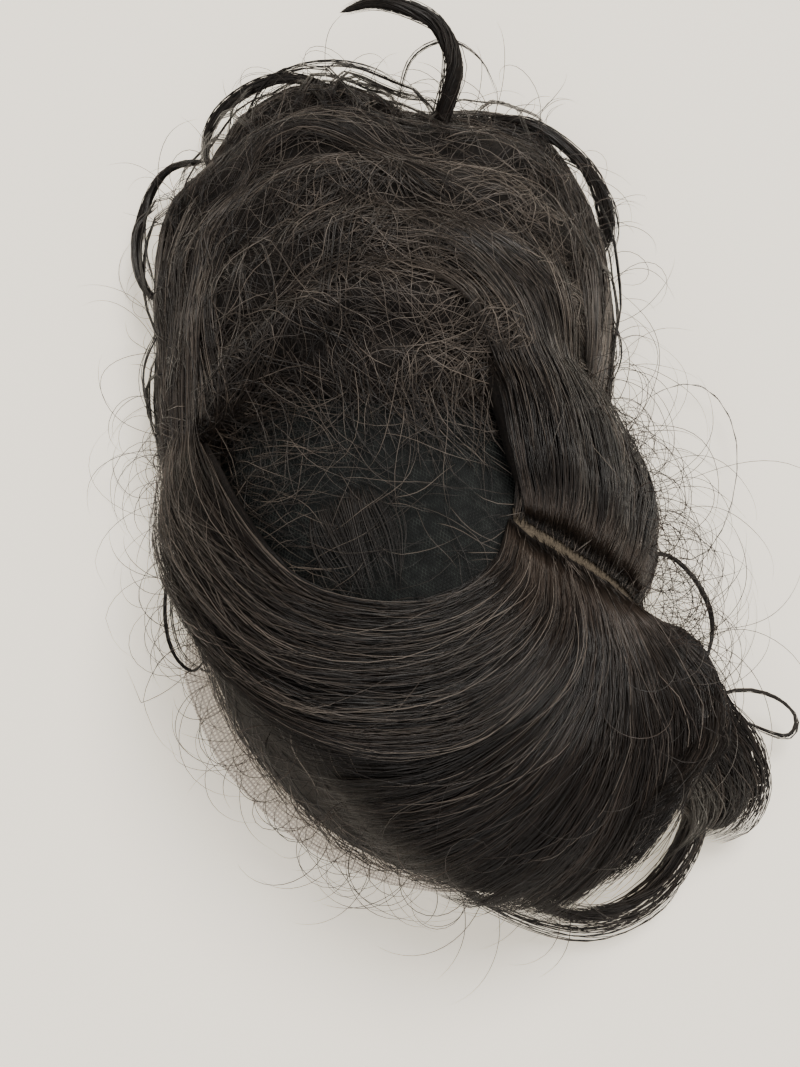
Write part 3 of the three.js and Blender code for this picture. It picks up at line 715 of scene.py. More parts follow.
def net_look():
    """Dark net: a diamond pattern of fine raised threads, with painted patches of light where the threads
    are coloured lighter, as if they catch the light.
    """
    look = Look("net cloth", 0.6, 0.18)
    ridge = look.spread(look.threads(), 0.05, 0.22, 1.0, 0.0)
    # Painted light: noise patches that make the threads lighter
    painted_light_patches = look.spread(look.noise(260), 0.32, 0.68, 0.25, 1.0)
    stops = [(0.0, (0.0015, 0.002, 0.002)), (0.5, (0.006, 0.0075, 0.007)), (1.0, (0.026, 0.030, 0.027))]
    look.colour(look.maths("MULTIPLY", ridge, painted_light_patches), stops)
    look.bump(ridge, 0.9, 0.0003)
    return look.material


SMOOTH_HAIR = hair_look(
    "smooth hair",
    [(0.0, (0.0035, 0.0023, 0.0016)), (0.6, (0.0115, 0.0076, 0.0054)), (1.0, (0.048, 0.035, 0.027))],
    roughness=0.33,
    specular=0.44,
)
WILD_HAIR = hair_look(
    "wild hair",
    [(0.0, (0.005, 0.0034, 0.0026)), (0.5, (0.022, 0.0158, 0.0120)), (1.0, (0.118, 0.094, 0.075))],
    roughness=0.4,
    specular=0.45,
)
LOOSE_HAIR = hair_look(
    "loose hair",
    [(0.0, (0.007, 0.0045, 0.0035)), (1.0, (0.042, 0.028, 0.021))],
    roughness=0.4,
    specular=0.4,
)
# A lighter copy of the hair for single hairs that stand off the sheets and the mound: a painted highlight,
# as if they catch the light
BRIGHT_HAIR = hair_look(
    "bright hair",
    [(0.0, (0.022, 0.017, 0.014)), (1.0, (0.170, 0.138, 0.112))],
    roughness=0.35,
    specular=0.5,
)
HAIR_DEPTH = rough_look(
    "hair depth", (0.0025, 0.0018, 0.0015), (0.013, 0.0092, 0.007), 800, 0.75, 0.0005
)
NET_CLOTH = net_look()
SCALP_LACE = rough_look("scalp lace", (0.042, 0.033, 0.023), (0.112, 0.090, 0.064), 1500, 0.8, 0.0002)
SHEER_LACE = lace_look()


def finish_piece(piece, material, slot, *nodes):
    piece.data.materials.append(material)
    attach(piece, "root")
    if nodes:
        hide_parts(*nodes)


def hair_piece(name, paths, rng, material, group=None, radius=HAIR_RADIUS, glow=0.0):
    """Paths as hairs that never sink through the table. Glow is added to their shades: painted highlight
    and painted light for the sheets and the mound's locks, a plain lift in tone for the streams and the
    flows.
    """
    count, rings = paths.shape[:2]
    paths[..., 2] = np.maximum(paths[..., 2], 2 * radius)
    widths = hair_widths(count, rings, rng, radius)
    shades = np.clip(hair_shades(count, rings, rng, group) + glow, 0, 1)
    finish_piece(tube_object(name, paths, widths, shades), material, "hair")


# The cap's net and the lace
NET_SIDES = 90
NET_RINGS = 20
NET_CELL = 0.0012


def cap_rim(degrees):
    """How far down the cap reaches: it stops short of the rim in front, where the lace takes over."""
    front = np.maximum(0, -np.sin(np.radians(degrees)))
    return 1 - (1 - LACE_START - CLEARANCE / CAP_HEIGHT) * 0.7 * smooth(0, 0.35, front)


def cap_shell():
    degrees = np.arange(NET_SIDES)[None] * 360 / NET_SIDES
    down = np.linspace(0, 1, NET_RINGS)[:, None]
    places = polar(degrees, cap_rim(degrees) * down)
    outside = over_dome(*places, 0)
    inside = over_dome(*places, -CAP_WALL)[::-1]
    walls = np.concatenate([outside, inside])
    walls[..., 2] = np.maximum(walls[..., 2], 0)
    points = loft_points(walls) - CENTRE
    cells = {
        "across_cells": (points[:, 0] + 0.6 * points[:, 1]) / NET_CELL,
        "down_cells": (points[:, 0] - 0.6 * points[:, 1]) / NET_CELL,
    }
    finish_piece(loft_object("cap_net", walls, cells), NET_CLOTH, "net", "cap_net")


LACE_ROWS = rows(
    "degrees flare",
    (-208, 0.1),
    (-196, 0.5),
    (-184, 1.2),
    (-168, 1.35),
    (-150, 1.1),
    (-125, 0.7),
    (-100, 0.45),
    (-40, 0.35),
    (4, 0.2),
    (14, 0.1),
)
LACE_CELL = 0.0011
LACE_SHEER = 0.0003


def lace_point(degrees, down, lift):
    """A place on the lace: down is 0 under the hair and 1 at its free edge."""
    front = np.maximum(0, -np.sin(np.radians(degrees)))
    drop = LACE_START + down * (LACE_END - LACE_START)
    free = np.maximum(0, (down - LACE_HELD) / (1 - LACE_HELD)) ** 1.5
    flare = LACE_FLARE * column(LACE_ROWS, "flare", degrees) * free
    point = over_dome(*polar(degrees, drop), lift + flare)
    point[..., 2] -= free * LACE_MARGIN * front
    return point


def lace():
    first, last = LACE_ROWS[0]["degrees"], LACE_ROWS[-1]["degrees"]
    degrees, down = grid(np.linspace(first, last, 150), np.linspace(0, 1, 16))
    sheets = [lace_point(degrees, down, CLEARANCE + thick) for thick in (LACE_SHEER, 0)]
    around = np.radians(degrees) * (CAP_WIDTH + CAP_LENGTH) / 4 / LACE_CELL
    drop = down * (LACE_DEPTH + LACE_FLARE) / LACE_CELL
    made = slab_object("lace_front", *sheets, {"across_cells": around, "down_cells": drop})
    finish_piece(made, SHEER_LACE, "lace", "lace_front")


def part_strip():
    along, share = grid(np.linspace(0, 1, 60), np.linspace(-0.5, 0.5, 9))
    places = parting_place(along, share * PART_WIDTH)
    top = over_dome(*places, CLEARANCE + PART_WALL)
    made = slab_object("part_strip", top, over_dome(*places, CLEARANCE))
    finish_piece(made, SCALP_LACE, "parting", "part_strip")


# Hair that wanders over the dome
def dome_walk(side, back, heading, bend, step, rings, sway, phase):
    """Places along paths over the dome. A heading of 0 runs to the wearer's left, pi/2 to the back."""
    small = 0.005
    track = [(side, back)]
    for k in range(1, rings):
        here = dome(side, back)
        wide = np.linalg.norm(dome(side + small, back) - here, axis=-1) / small
        long = np.linalg.norm(dome(side, back + small) - here, axis=-1) / small
        side = side + step * np.cos(heading) / np.maximum(wide, 0.03)
        back = back + step * np.sin(heading) / np.maximum(long, 0.03)
        drop = np.maximum(np.hypot(side, back), 1e-6)
        most = np.minimum(1, NEAR_RIM / drop)
        side, back = side * most, back * most
        heading = heading + bend * step + sway * np.sin(phase + 0.9 * k)
        track.append((side, back))
    return np.stack([p[0] for p in track], 1), np.stack([p[1] for p in track], 1)


def underlayer_hair(count, rings, seed):
    """Short hair that runs round the sides of the cap, along the lace."""
    rng, t = start_hairs(seed, rings)
    degrees = rng.uniform(-228, 30, count)
    start = column(UNDERLAYER_ROWS, "from", degrees)
    end = column(UNDERLAYER_ROWS, "to", degrees)
    drop = start + (end + 0.03 - start) * rng.random(count) ** 0.7 + 0.06 * rng.random(count) ** 5
    side, back = polar(degrees, drop)
    around = np.radians(degrees) + QUARTER
    outward = rng.normal(0.32, 0.3, count)
    heading = np.where(degrees > -75, around - math.pi + outward, around - outward)
    step = rng.uniform(0.014, 0.042, count) / (rings - 1)
    bend = np.where(degrees > -75, -1, 1) * rng.normal(9, 9, count)
    side, back = dome_walk(side, back, heading, bend, step, rings, 0.12, rng.uniform(0, 6, count))
    lift = underlayer_seat(np.hypot(side, back)) + UNDERLAYER * rng.uniform(0.35, 1.1, (count, 1))
    lift = lift * (0.5 + 0.5 * smooth(0, 0.2, t)) + 0.0008 * np.sin(5 * t + rng.uniform(0, 6, (count, 1)))
    hair_piece("underlayer_strands", over_dome(side, back, lift), rng, WILD_HAIR)


def underlayer_base():
    turn, down = grid(np.linspace(0, 1, 90), np.linspace(0, 1, 12))
    first, last = UNDERLAYER_ROWS[0]["degrees"], UNDERLAYER_ROWS[-1]["degrees"]
    degrees = first + turn * (last - first)
    start = column(UNDERLAYER_ROWS, "from", degrees)
    end = column(UNDERLAYER_ROWS, "to", degrees)
    drop = start + down * (end - start)
    seat = underlayer_seat(drop)
    thick = UNDERLAYER * (1 - 0.85 * np.abs(2 * down - 1) ** 4) * 0.45
    top = over_dome(*polar(degrees, drop), seat + thick)
    bottom = over_dome(*polar(degrees, drop), seat)
    finish_piece(slab_object("hair_underlayer", top, bottom), HAIR_DEPTH, "hair", "hair_underlayer")


def crown_hairs(name, count, rings, seed, sides, backs, curl):
    """Single hairs that cross the bare net."""
    rng, t = start_hairs(seed, rings)
    side = rng.uniform(*sides, count)
    back = rng.uniform(*backs, count)
    heading = rng.normal(-0.7, 0.6, count)
    step = rng.uniform(0.012, 0.045, count) / (rings - 1)
    bend = rng.normal(0.5 * curl, curl, count)
    places = dome_walk(side, back, heading, bend, step, rings, 0.15, rng.uniform(0, 6, count))
    lift = 0.0006 + rng.uniform(0.0002, 0.0035, (count, 1)) * np.sin(math.pi * t) ** 0.7
    hair_piece(name, over_dome(*places, lift), rng, WILD_HAIR, radius=FINE_RADIUS)


TUFT = {"length": 0.025, "width": 0.013, "thick": 0.0024, "side": -0.09, "back": 0.07, "lean": 0.04}


def crown_tuft(count, rings, seed):
    rng, t = start_hairs(seed, rings)
    across = rng.random((count, 1))
    reach = rng.uniform(0.6, 1.05, (count, 1))
    along = rng.uniform(0, 0.15, (count, 1)) + (reach - 0.1) * t
    spread = 1.25 - 0.45 * along**1.5 + 0.35 * np.sin(4 * along + 6 * across)
    tip = (0.5 - along) * TUFT["length"]
    arc = 0.0025 * (2 * across - 1) ** 2 * (1 - along)
    side = TUFT["side"] + (across - 0.5) * spread * TUFT["width"] / (CAP_WIDTH / 2) - TUFT["lean"] * along
    back = TUFT["back"] + (tip - arc) / (CAP_LENGTH / 2)
    arch = np.sin(math.pi * np.clip(0.05 + 0.9 * along, 0, 1))
    lift = CLEARANCE + TUFT["thick"] * arch * (0.3 + 0.8 * rng.random((count, 1)))
    widths = hair_widths(count, rings, rng, 1.1 * FINE_RADIUS)
    # Painted highlight: the hairs are coloured lighter at their roots and darker towards their tips
    shades = 0.62 * hair_shades(count, rings, rng) * (1 - 0.55 * smooth(0, 0.6, along))
    piece = tube_object("crown_tuft", over_dome(side, back, lift), widths, shades)
    finish_piece(piece, WILD_HAIR, "hair", "crown_tuft")


def part_roots(count, rings, seed):
    """Short root hairs that make the parting's two edges ragged."""
    rng, t = start_hairs(seed, rings)
    along = rng.random((count, 1))
    way = np.where(rng.random((count, 1)) < 0.5, -1, 1)
    near = rng.uniform(-0.0002, 0.0012, (count, 1)) + 0.003 * rng.random((count, 1)) ** 3
    across = way * (near + rng.uniform(0.004, 0.010, (count, 1)) * t)
    slant = rng.normal(0, 0.035, (count, 1)) * t
    lift = CLEARANCE + PART_WALL + 0.006 * t * rng.uniform(0.5, 1, (count, 1))
    paths = over_dome(*parting_place(np.clip(along + slant, 0, 1), across), lift)
    hair_piece("part_roots", paths, rng, WILD_HAIR, radius=1.3 * FINE_RADIUS)


# Sheets of hair. Sheen is how much their hair is lit beside the parting, as painted highlight and painted
# light in the hair's colour.
BASE_REACH = 0.93
PAINTED_SHEEN = 0.45


def sheet_base(name, shape, columns, lines):
    """The dark body of a sheet. It stops short of the tips, so that single hairs end the sheet."""
    sides, ends = np.linspace(0.015, 0.985, columns), np.linspace(0, BASE_REACH, lines)
    across, along = grid(sides, ends)
    edge = 1 - 0.5 * np.abs(2 * across - 1) ** 8 - 0.6 * smooth(0.7, BASE_REACH, along)
    top = sheet_point(shape, across, along, 0.04 + 0.7 * smooth(0.01, 0.2, along) * edge)
    bottom = sheet_point(shape, across, along, 0.02)
    finish_piece(slab_object(name, top, bottom), HAIR_DEPTH, "hair", name)


def sheet_strands(name, shape, count, rings, seed, clumps, finish=(0.75, 1.0)):
    """Locks of hair that lie in the top of a sheet, from their roots to their tips."""
    rng, t = start_hairs(seed, rings)
    root = rng.random(count)
    lock = np.minimum((root * clumps).astype(int), clumps - 1)
    middle = (np.arange(clumps) + rng.uniform(0.2, 0.8, clumps)) / clumps
    first = rng.uniform(0, 0.03, (count, 1))
    last = rng.uniform(*finish, (count, 1))
    along = first + (last - first) * t**1.15
    pull = rng.uniform(0.05, 0.5, (count, 1)) * smooth(0, 0.75, along)
    across = root[:, None] + (middle[lock] - root)[:, None] * pull
    sway = rng.uniform(-1, 1, clumps)[lock][:, None]
    phase = rng.uniform(0, 6, clumps)[lock][:, None]
    across = across + 0.012 * sway * np.sin(4 * along + phase) * along
    stray = rng.normal(0, 1, (count, 1))
    bend = np.sin(7 * along + rng.uniform(0, 6, (count, 1)))
    across = across + 0.008 * stray * bend * smooth(0, 0.2, along)
    heap = rng.uniform(-0.0005, 0.0010, clumps)[lock][:, None] * smooth(0, 0.3, along)
    ridge = PART_RIDGE * smooth(0.02, 0.09, along) * (1 - smooth(0.1, 0.24, along))
    depth = (0.76 + 0.32 * rng.random((count, 1)) ** 0.7) * smooth(-0.06, 0.12, along)
    wave = 0.0006 * np.sin(9 * along + rng.uniform(0, 6, (count, 1))) * smooth(0, 0.2, along)
    loose = np.where(rng.random((count, 1)) < 0.06, 0.0035, 0) * smooth(0.15, 0.6, along)
    paths = sheet_point(shape, np.clip(across, 0, 1), along, depth, heap + ridge + wave + loose)
    # Painted highlight: a band of lighter colour a little way below the parting, and lighter roots that
    # paint out the shade on their slope
    highlight_band = np.exp(-(((along - 0.11 - 0.02 * sway) / 0.045) ** 2))
    painted_sheen = PAINTED_SHEEN * highlight_band + PAINTED_SHEEN * (1 - smooth(0.03, 0.14, along))
    hair_piece(name, paths, rng, SMOOTH_HAIR, group=lock, glow=painted_sheen)


def long_hairs(name, shape, count, rings, seed, begin=(0, 0.35), slope=0.14):
    """Single bright hairs that cross a sheet at a slant and stand off it a little."""
    rng, t = start_hairs(seed, rings)
    along = np.minimum(rng.uniform(*begin, (count, 1)) + rng.uniform(0.25, 0.6, (count, 1)) * t, 1)
    slant = rng.normal(0, slope, (count, 1)) * t
    bow = rng.normal(0, 0.06, (count, 1)) * np.sin(math.pi * t)
    across = np.clip(rng.random((count, 1)) + slant + bow, 0, 1)
    rise = 0.0006 + rng.uniform(0, 0.004, (count, 1)) * np.sin(math.pi * t)
    paths = sheet_point(shape, across, along, 1.05, rise)
    hair_piece(name, paths, rng, BRIGHT_HAIR, radius=FINE_RADIUS)


# The mound of back hair
def cap_place(x, y):
    """The place on the dome that lies over a point of the table, and whether there is one."""
    side = (x - CENTRE[0]) / (CAP_WIDTH / 2)
    back = (y - CENTRE[1]) / (CAP_LENGTH / 2)
    out = np.hypot(side, back)
    drop = np.arcsin(np.minimum(out, 1) ** (1 / SHOULDER)) / QUARTER
    turn = np.arctan2(back, side)
    return drop * np.cos(turn), drop * np.sin(turn), out < 1


BACK_SHRINK = 0.988
# How far hair keeps from the mound's two ends, in degrees, and where it turns back in and out
MOUND_MARGIN = 1
MOUND_TURNS = (0.01, 0.985)


def on_mound(degrees):
    return np.clip(degrees, BACK_FIRST + MOUND_MARGIN, BACK_LAST - MOUND_MARGIN)


def back_base():
    turns = np.linspace(BACK_FIRST + MOUND_MARGIN, BACK_LAST - MOUND_MARGIN, 90)
    degrees, share = grid(turns, np.linspace(0, 1, 42))
    out = BACK_SHRINK * (1 - (1 - share) ** 1.35)
    top = mound_point(degrees, out, -2 * BASE_SHRINK)
    side, back, over_cap = cap_place(top[..., 0], top[..., 1])
    bottom = top.copy()
    bottom[..., 2] = np.where(over_cap, dome(side, back)[..., 2] + CLEARANCE, 0.0002)
    top[..., 2] = np.maximum(top[..., 2], bottom[..., 2] + 0.0004)
    finish_piece(slab_object("hair_back", top, bottom), HAIR_DEPTH, "hair", "hair_back")


def mound_walk(degrees, out, heading, bend, step, rings, sway, phase):
    """Paths over the mound. A heading of 0 goes round it and a quarter turn goes outwards."""
    small = 0.02
    track = [(degrees, out)]
    for k in range(1, rings):
        radius = mound_radius(degrees, out)
        ahead = mound_point(degrees, np.minimum(out + small, 1))
        here = mound_point(degrees, np.minimum(out + small, 1) - small)
        span = np.linalg.norm(ahead - here, axis=-1) / small
        degrees = degrees + np.degrees(step * np.cos(heading) / radius)
        out = out + step * np.sin(heading) / span
        degrees = on_mound(degrees)
        heading = heading + bend * step + sway * np.sin(phase + 1.1 * k)
        folded = np.abs(np.arctan2(np.sin(heading), np.cos(heading)))
        inner, outer = MOUND_TURNS
        heading = np.where(out > outer, -folded, np.where(out < inner, folded, heading))
        out = np.clip(out, 0, 1)
        track.append((degrees, out))
    return np.stack([p[0] for p in track], 1), np.stack([p[1] for p in track], 1)


def back_strands(name, locks, each, rings, seed, length, spread, lowest=-0.0012, loose=None):
    """Locks of hair that wander over the mound, and run more along it near its outline.

    Loose hairs are single bright ones, in the range of degrees that loose gives.
    """
    turn = loose or (BACK_FIRST + 3, BACK_LAST - 3)
    rng, t = start_hairs(seed, rings)
    count = locks * each
    lock = np.repeat(np.arange(locks), each)
    lock_out = rng.random(locks) ** 0.75
    rim = smooth(0.6, 0.9, lock_out)
    way = np.where(rng.random(locks) < 0.5, 0, math.pi)
    heading = way + rng.normal(0, 1, locks) * (1.2 - 0.85 * rim)
    bend = rng.normal(0, 1, locks) * 26
    degrees = rng.uniform(*turn, locks)[lock]
    degrees = degrees + rng.normal(0, 1, count) * np.degrees(spread / 0.13)
    out = np.clip(lock_out[lock] + rng.normal(0, 1, count) * spread / 0.11, 0, 1)
    own_length = rng.uniform(*length, locks)[lock] * rng.uniform(0.7, 1.15, count)
    path = mound_walk(
        on_mound(degrees),
        out,
        heading[lock] + rng.normal(0, 0.2, count),
        bend[lock] + rng.normal(0, 8, count),
        own_length / (rings - 1),
        rings,
        rng.uniform(0.0, 0.45, locks)[lock],
        rng.uniform(0, 6, locks)[lock] + rng.normal(0, 0.3, count),
    )
    rise = rng.uniform(lowest, 0.0022, locks)[lock][:, None] + rng.uniform(-0.0006, 0.001, (count, 1))
    turns = t * rng.uniform(0.4, 1.6, (count, 1)) * 2 * math.pi
    bob = 0.0012 * np.sin(turns + rng.uniform(0, 6, (count, 1)))
    dive = -0.003 * (smooth(0.8, 1, t) + 1 - smooth(0, 0.12, t))
    finish = {"material": BRIGHT_HAIR, "radius": FINE_RADIUS} if loose else {"material": WILD_HAIR}
    # Painted light: hairs round 58 degrees, away from the outline, are coloured lighter where the lamp
    # falls on the mound
    painted_light = 0.3 * np.exp(-(((path[0] - 58) / 22) ** 2)) * (1 - smooth(0.6, 0.9, path[1]))
    hair_piece(name, mound_point(*path, rise + bob + dive), rng, group=lock, glow=painted_light, **finish)


# Smooth streams of hair over the mound, as the places that each one passes
STREAMS = [
    dict(degrees=[26, 33, 42, 52, 61, 72], out=[0.4, 0.38, 0.37, 0.38, 0.43, 0.5], width=0.026, hairs=110),
    dict(
        degrees=[22, 25, 31, 38, 46, 54, 62, 70], out=[0.3, 0.63, 0.84, 0.95, 0.98, 0.97, 0.95, 0.93],
        width=0.009, hairs=70,
    ),
    dict(degrees=[40, 35, 30, 28, 32, 38], out=[0.44, 0.63, 0.68, 0.5, 0.36, 0.33], width=0.008, hairs=45),
    dict(
        degrees=[137, 128, 118, 109, 101, 94, 87], out=[0.1, 0.6, 0.85, 0.93, 0.93, 0.92, 0.92],
        width=0.011, hairs=80,
    ),
    dict(
        degrees=[122, 116, 110, 101, 92, 83], out=[0.1, 0.28, 0.46, 0.58, 0.66, 0.72], width=0.02, hairs=60,
    ),
    dict(degrees=[98, 92, 86, 79, 72, 66], out=[0.8, 0.93, 0.98, 0.98, 0.96, 0.86], width=0.01, hairs=60),
    dict(degrees=[88, 83, 79, 74, 69, 62], out=[0.12, 0.28, 0.42, 0.55, 0.64, 0.7], width=0.012, hairs=12),
    dict(degrees=[60, 68, 77, 86, 94], out=[0.52, 0.62, 0.72, 0.76, 0.72], width=0.016, hairs=50),
]


def stream_paths(stream, rings, rng):
    count = stream["hairs"]
    places = np.stack([np.radians(stream["degrees"]), stream["out"], 0 * np.array(stream["out"])], -1)
    t = np.linspace(0, 1, rings)[None]
    first = rng.uniform(0, 0.25, (count, 1)) ** 1.4
    last = 1 - rng.uniform(0, 0.45, (count, 1)) ** 1.5
    along = (first + (last - first) * t).ravel()
    centre = spline(places, along)
    ahead = spline(places, np.minimum(along + 0.01, 1)) - spline(places, np.maximum(along - 0.01, 0))
    degrees, out = np.degrees(centre[:, 0]), centre[:, 1]
    radius = mound_radius(degrees, out)
    span = mound_radius(degrees, 1) - mound_radius(degrees, 0)
    around, outward = ahead[:, 0] * radius, ahead[:, 1] * span
    pace = np.hypot(around, outward)
    own = rng.uniform(-1, 1, (count, 1))
    drift = 0.25 * np.sin(4 * t + rng.uniform(0, 6, (count, 1))) * rng.random((count, 1))
    share = (own * (1 - 0.35 * t) + drift).ravel()
    offset = stream["width"] / 2 * share
    degrees = degrees - np.degrees(outward / pace / radius * offset)
    out = np.minimum(out + around / pace / span * offset, 1)
    heap = 0.0022 * np.sqrt(np.maximum(0, 1 - share**2)) * rng.uniform(0.5, 1.2, (count, 1)).repeat(rings)
    points = mound_point(degrees, out, 0.0008 + heap)
    side, back, over_cap = cap_place(points[:, 0], points[:, 1])
    over_hair = dome(side, back)[:, 2] + 0.007 + heap
    lifted = over_cap & (out < 0.02)
    points[:, 2] = np.where(lifted, np.maximum(points[:, 2], over_hair), points[:, 2])
    return points.reshape(count, rings, 3)


def stream_strands(rings, seed):
    rng = np.random.default_rng(seed)
    paths = [stream_paths(stream, rings, rng) for stream in STREAMS]
    hair_piece("back_streams", np.concatenate(paths), rng, WILD_HAIR, glow=0.1)


# Hair that runs on from a sheet over the mound: where it leaves the sheet, then mound places
SIDE_FLOW = [
    dict(across=0.02, along=[0.2, 0.4, 0.6], degrees=[47, 56, 67, 82], out=[0.12, 0.22, 0.3, 0.33]),
    dict(across=0.25, along=[0.2, 0.45, 0.66], degrees=[37, 46, 57, 70], out=[0.2, 0.31, 0.38, 0.43]),
    dict(across=0.5, along=[0.25, 0.5, 0.72], degrees=[32, 39, 48, 59], out=[0.34, 0.43, 0.51, 0.57]),
    dict(across=0.75, along=[0.3, 0.55, 0.8], degrees=[27, 33, 40, 49], out=[0.45, 0.56, 0.66, 0.74]),
    dict(across=0.97, along=[0.35, 0.65, 0.88], degrees=[25, 30, 37, 45], out=[0.5, 0.7, 0.82, 0.88]),
]
SWEEP_FLOW = [
    dict(across=0.03, along=[0.45, 0.66, 0.85], degrees=[122, 114, 105, 95], out=[0.22, 0.37, 0.48, 0.56]),
    dict(across=0.28, along=[0.45, 0.68, 0.87], degrees=[127, 119, 110, 101], out=[0.4, 0.53, 0.62, 0.68]),
    dict(across=0.52, along=[0.45, 0.7, 0.89], degrees=[131, 124, 116, 107], out=[0.6, 0.7, 0.77, 0.81]),
    dict(across=0.76, along=[0.45, 0.7, 0.9], degrees=[134, 128, 120, 111], out=[0.78, 0.83, 0.88, 0.91]),
    dict(across=0.97, along=[0.4, 0.68, 0.9], degrees=[137, 131, 123, 115], out=[0.88, 0.93, 0.95, 0.96]),
]
# The same, with places like those of a curl
FRONT_FLOW = [
    dict(
        across=0.8, along=[0.4, 0.62, 0.82], side=[0.62, 0.73, 0.71, 0.55], back=[-1, -1.08, -1.17, -1.25],
        up=[0.6, 0.36, 0.2, 0.13],
    ),
    dict(
        across=0.88, along=[0.4, 0.62, 0.82], side=[0.73, 0.8, 0.75, 0.5],
        back=[-0.99, -1.07, -1.19, -1.29], up=[0.52, 0.32, 0.18, 0.1],
    ),
    dict(
        across=0.95, along=[0.4, 0.62, 0.82], side=[0.81, 0.85, 0.77, 0.52], back=[-1, -1.08, -1.2, -1.31],
        up=[0.45, 0.28, 0.15, 0.08],
    ),
]


def flow_strands(name, shape, guides, count, rings, seed):
    """Hair that leaves a sheet for the mound, or for places like those of a curl."""
    rng, t = start_hairs(seed, rings)
    first = rng.uniform(0, 0.5, (count, 1))
    along = first + (1 - first) * rng.uniform(0.55, 1, (count, 1)) * t
    lock = rng.integers(count // 20, size=count)
    own = rng.random(count // 20)[lock][:, None] + rng.normal(0, 0.035, (count, 1))
    sway = 0.03 * rng.normal(0, 1, (count, 1)) * np.sin(4 * along + rng.uniform(0, 6, (count, 1)))
    across = np.clip(own + sway, 0, 1)
    lanes = []
    for guide in guides:
        on_sheet = sheet_point(shape, guide["across"], np.array(guide["along"]), 1.0, 0.0006)
        if "degrees" in guide:
            beyond = mound_point(np.array(guide["degrees"]), np.array(guide["out"]), 0.002)
        else:
            beyond = curl_places(guide)
        lanes.append(spline(np.concatenate([on_sheet, beyond]), along.ravel()))
    paths = spline(np.stack(lanes), across.ravel()).reshape(count, rings, 3)
    heap = 0.0022 * rng.random((count, 1)) ** 0.8 * smooth(0, 0.2, t) * (1 - smooth(0.75, 1, t))
    dive = 0.003 * (smooth(0.85, 1, t) + 1 - smooth(0, 0.15, t))
    paths[..., 2] += heap - dive + 0.0007 * np.sin(6 * t + rng.uniform(0, 6, (count, 1)))
    hair_piece(name, paths, rng, WILD_HAIR, group=lock, glow=0.22 * smooth(0.35, 0.8, along))


def rim_loops(locks, each, rings, seed):
    """Small locks that bow out of the mound's outline and come back to it."""
    rng, t = start_hairs(seed, rings)
    count = locks * each
    lock = np.repeat(np.arange(locks), each)

    def shared(low, high):
        return rng.uniform(low, high, locks)[lock][:, None]

    middle = shared(BACK_FIRST + 12, BACK_LAST - 12)
    reach = shared(4, 11) * rng.choice([-1, 1], locks)[lock][:, None]
    degrees = middle + reach * (t - 0.5) * 2 + rng.normal(0, 0.25, (count, 1))
    degrees = on_mound(degrees)
    start = shared(0.72, 0.93)
    bulge = shared(-0.002, 0.008) + rng.normal(0, 0.0004, (count, 1))
    arch = np.sin(math.pi * t) ** 0.8
    out = start + (1 - start) * arch
    points = mound_point(degrees, out)
    radial = np.stack([np.cos(np.radians(degrees)), np.sin(np.radians(degrees))], -1)
    points[..., :2] += radial * (bulge * arch)[..., None]
    points[..., 2] += arch * shared(0.002, 0.02) + rng.normal(0, 0.0004, (count, 1))
    hair_piece("rim_loops", points, rng, SMOOTH_HAIR, group=lock)


def skirt_hairs(count, rings, seed):
    """Hair that runs down the mound's foot and lies out on the table."""
    rng, t = start_hairs(seed, rings)
    start = rng.uniform(0.84, 0.97, (count, 1))
    degrees = rng.uniform(BACK_FIRST + 1, BACK_LAST - 1, (count, 1)) + rng.normal(0, 5, (count, 1)) * t
    degrees = degrees + rng.normal(0, 1, (count, 1)) * np.sin(math.pi * t)
    degrees = np.clip(degrees, BACK_FIRST + 0.5, BACK_LAST - 0.5)
    points = mound_point(degrees, start + (1 - start) * t, 0.001)
    angle = np.radians(degrees)
    beyond = rng.uniform(-0.002, 0.005, (count, 1)) * t**2
    points[..., 0] += beyond * np.cos(angle)
    points[..., 1] += beyond * np.sin(angle)
    points[..., 2] *= 1 - smooth(0.4, 1, t) * rng.uniform(0.7, 1, (count, 1))
    hair_piece("skirt_hairs", points, rng, WILD_HAIR)


def end_hairs(count, rings, seed):
    """Hair that hangs down the mound's two ends, beside the cap."""
    rng, t = start_hairs(seed, rings)
    way = rng.choice([-1, 1], (count, 1))
    middle = (BACK_FIRST + BACK_LAST) / 2
    half = (BACK_LAST - BACK_FIRST) / 2
    out = rng.uniform(0.1, 0.95, (count, 1))
    beyond = rng.uniform(-9, -1, (count, 1)) * (1 - t) + rng.uniform(-1, 1, (count, 1)) * t**0.7
    points = mound_point(np.clip(middle + way * (half + beyond), BACK_FIRST, BACK_LAST), out)
    angle = np.radians(middle + way * (half + beyond))
    radius = mound_radius(middle + way * half, out) + 0.003 * t * rng.normal(0, 1, (count, 1))
    points[..., 0] = CENTRE[0] + radius * np.cos(angle)
    points[..., 1] = CENTRE[1] + radius * np.sin(angle)
    points[..., 2] *= 1 - smooth(0.1, 1, t) * rng.uniform(0.6, 1, (count, 1))
    hair_piece("end_hairs", points, rng, WILD_HAIR)


# How far down the cap, as a share of the way to its rim, hair may spill over the net
SPILL_REACH = 0.86


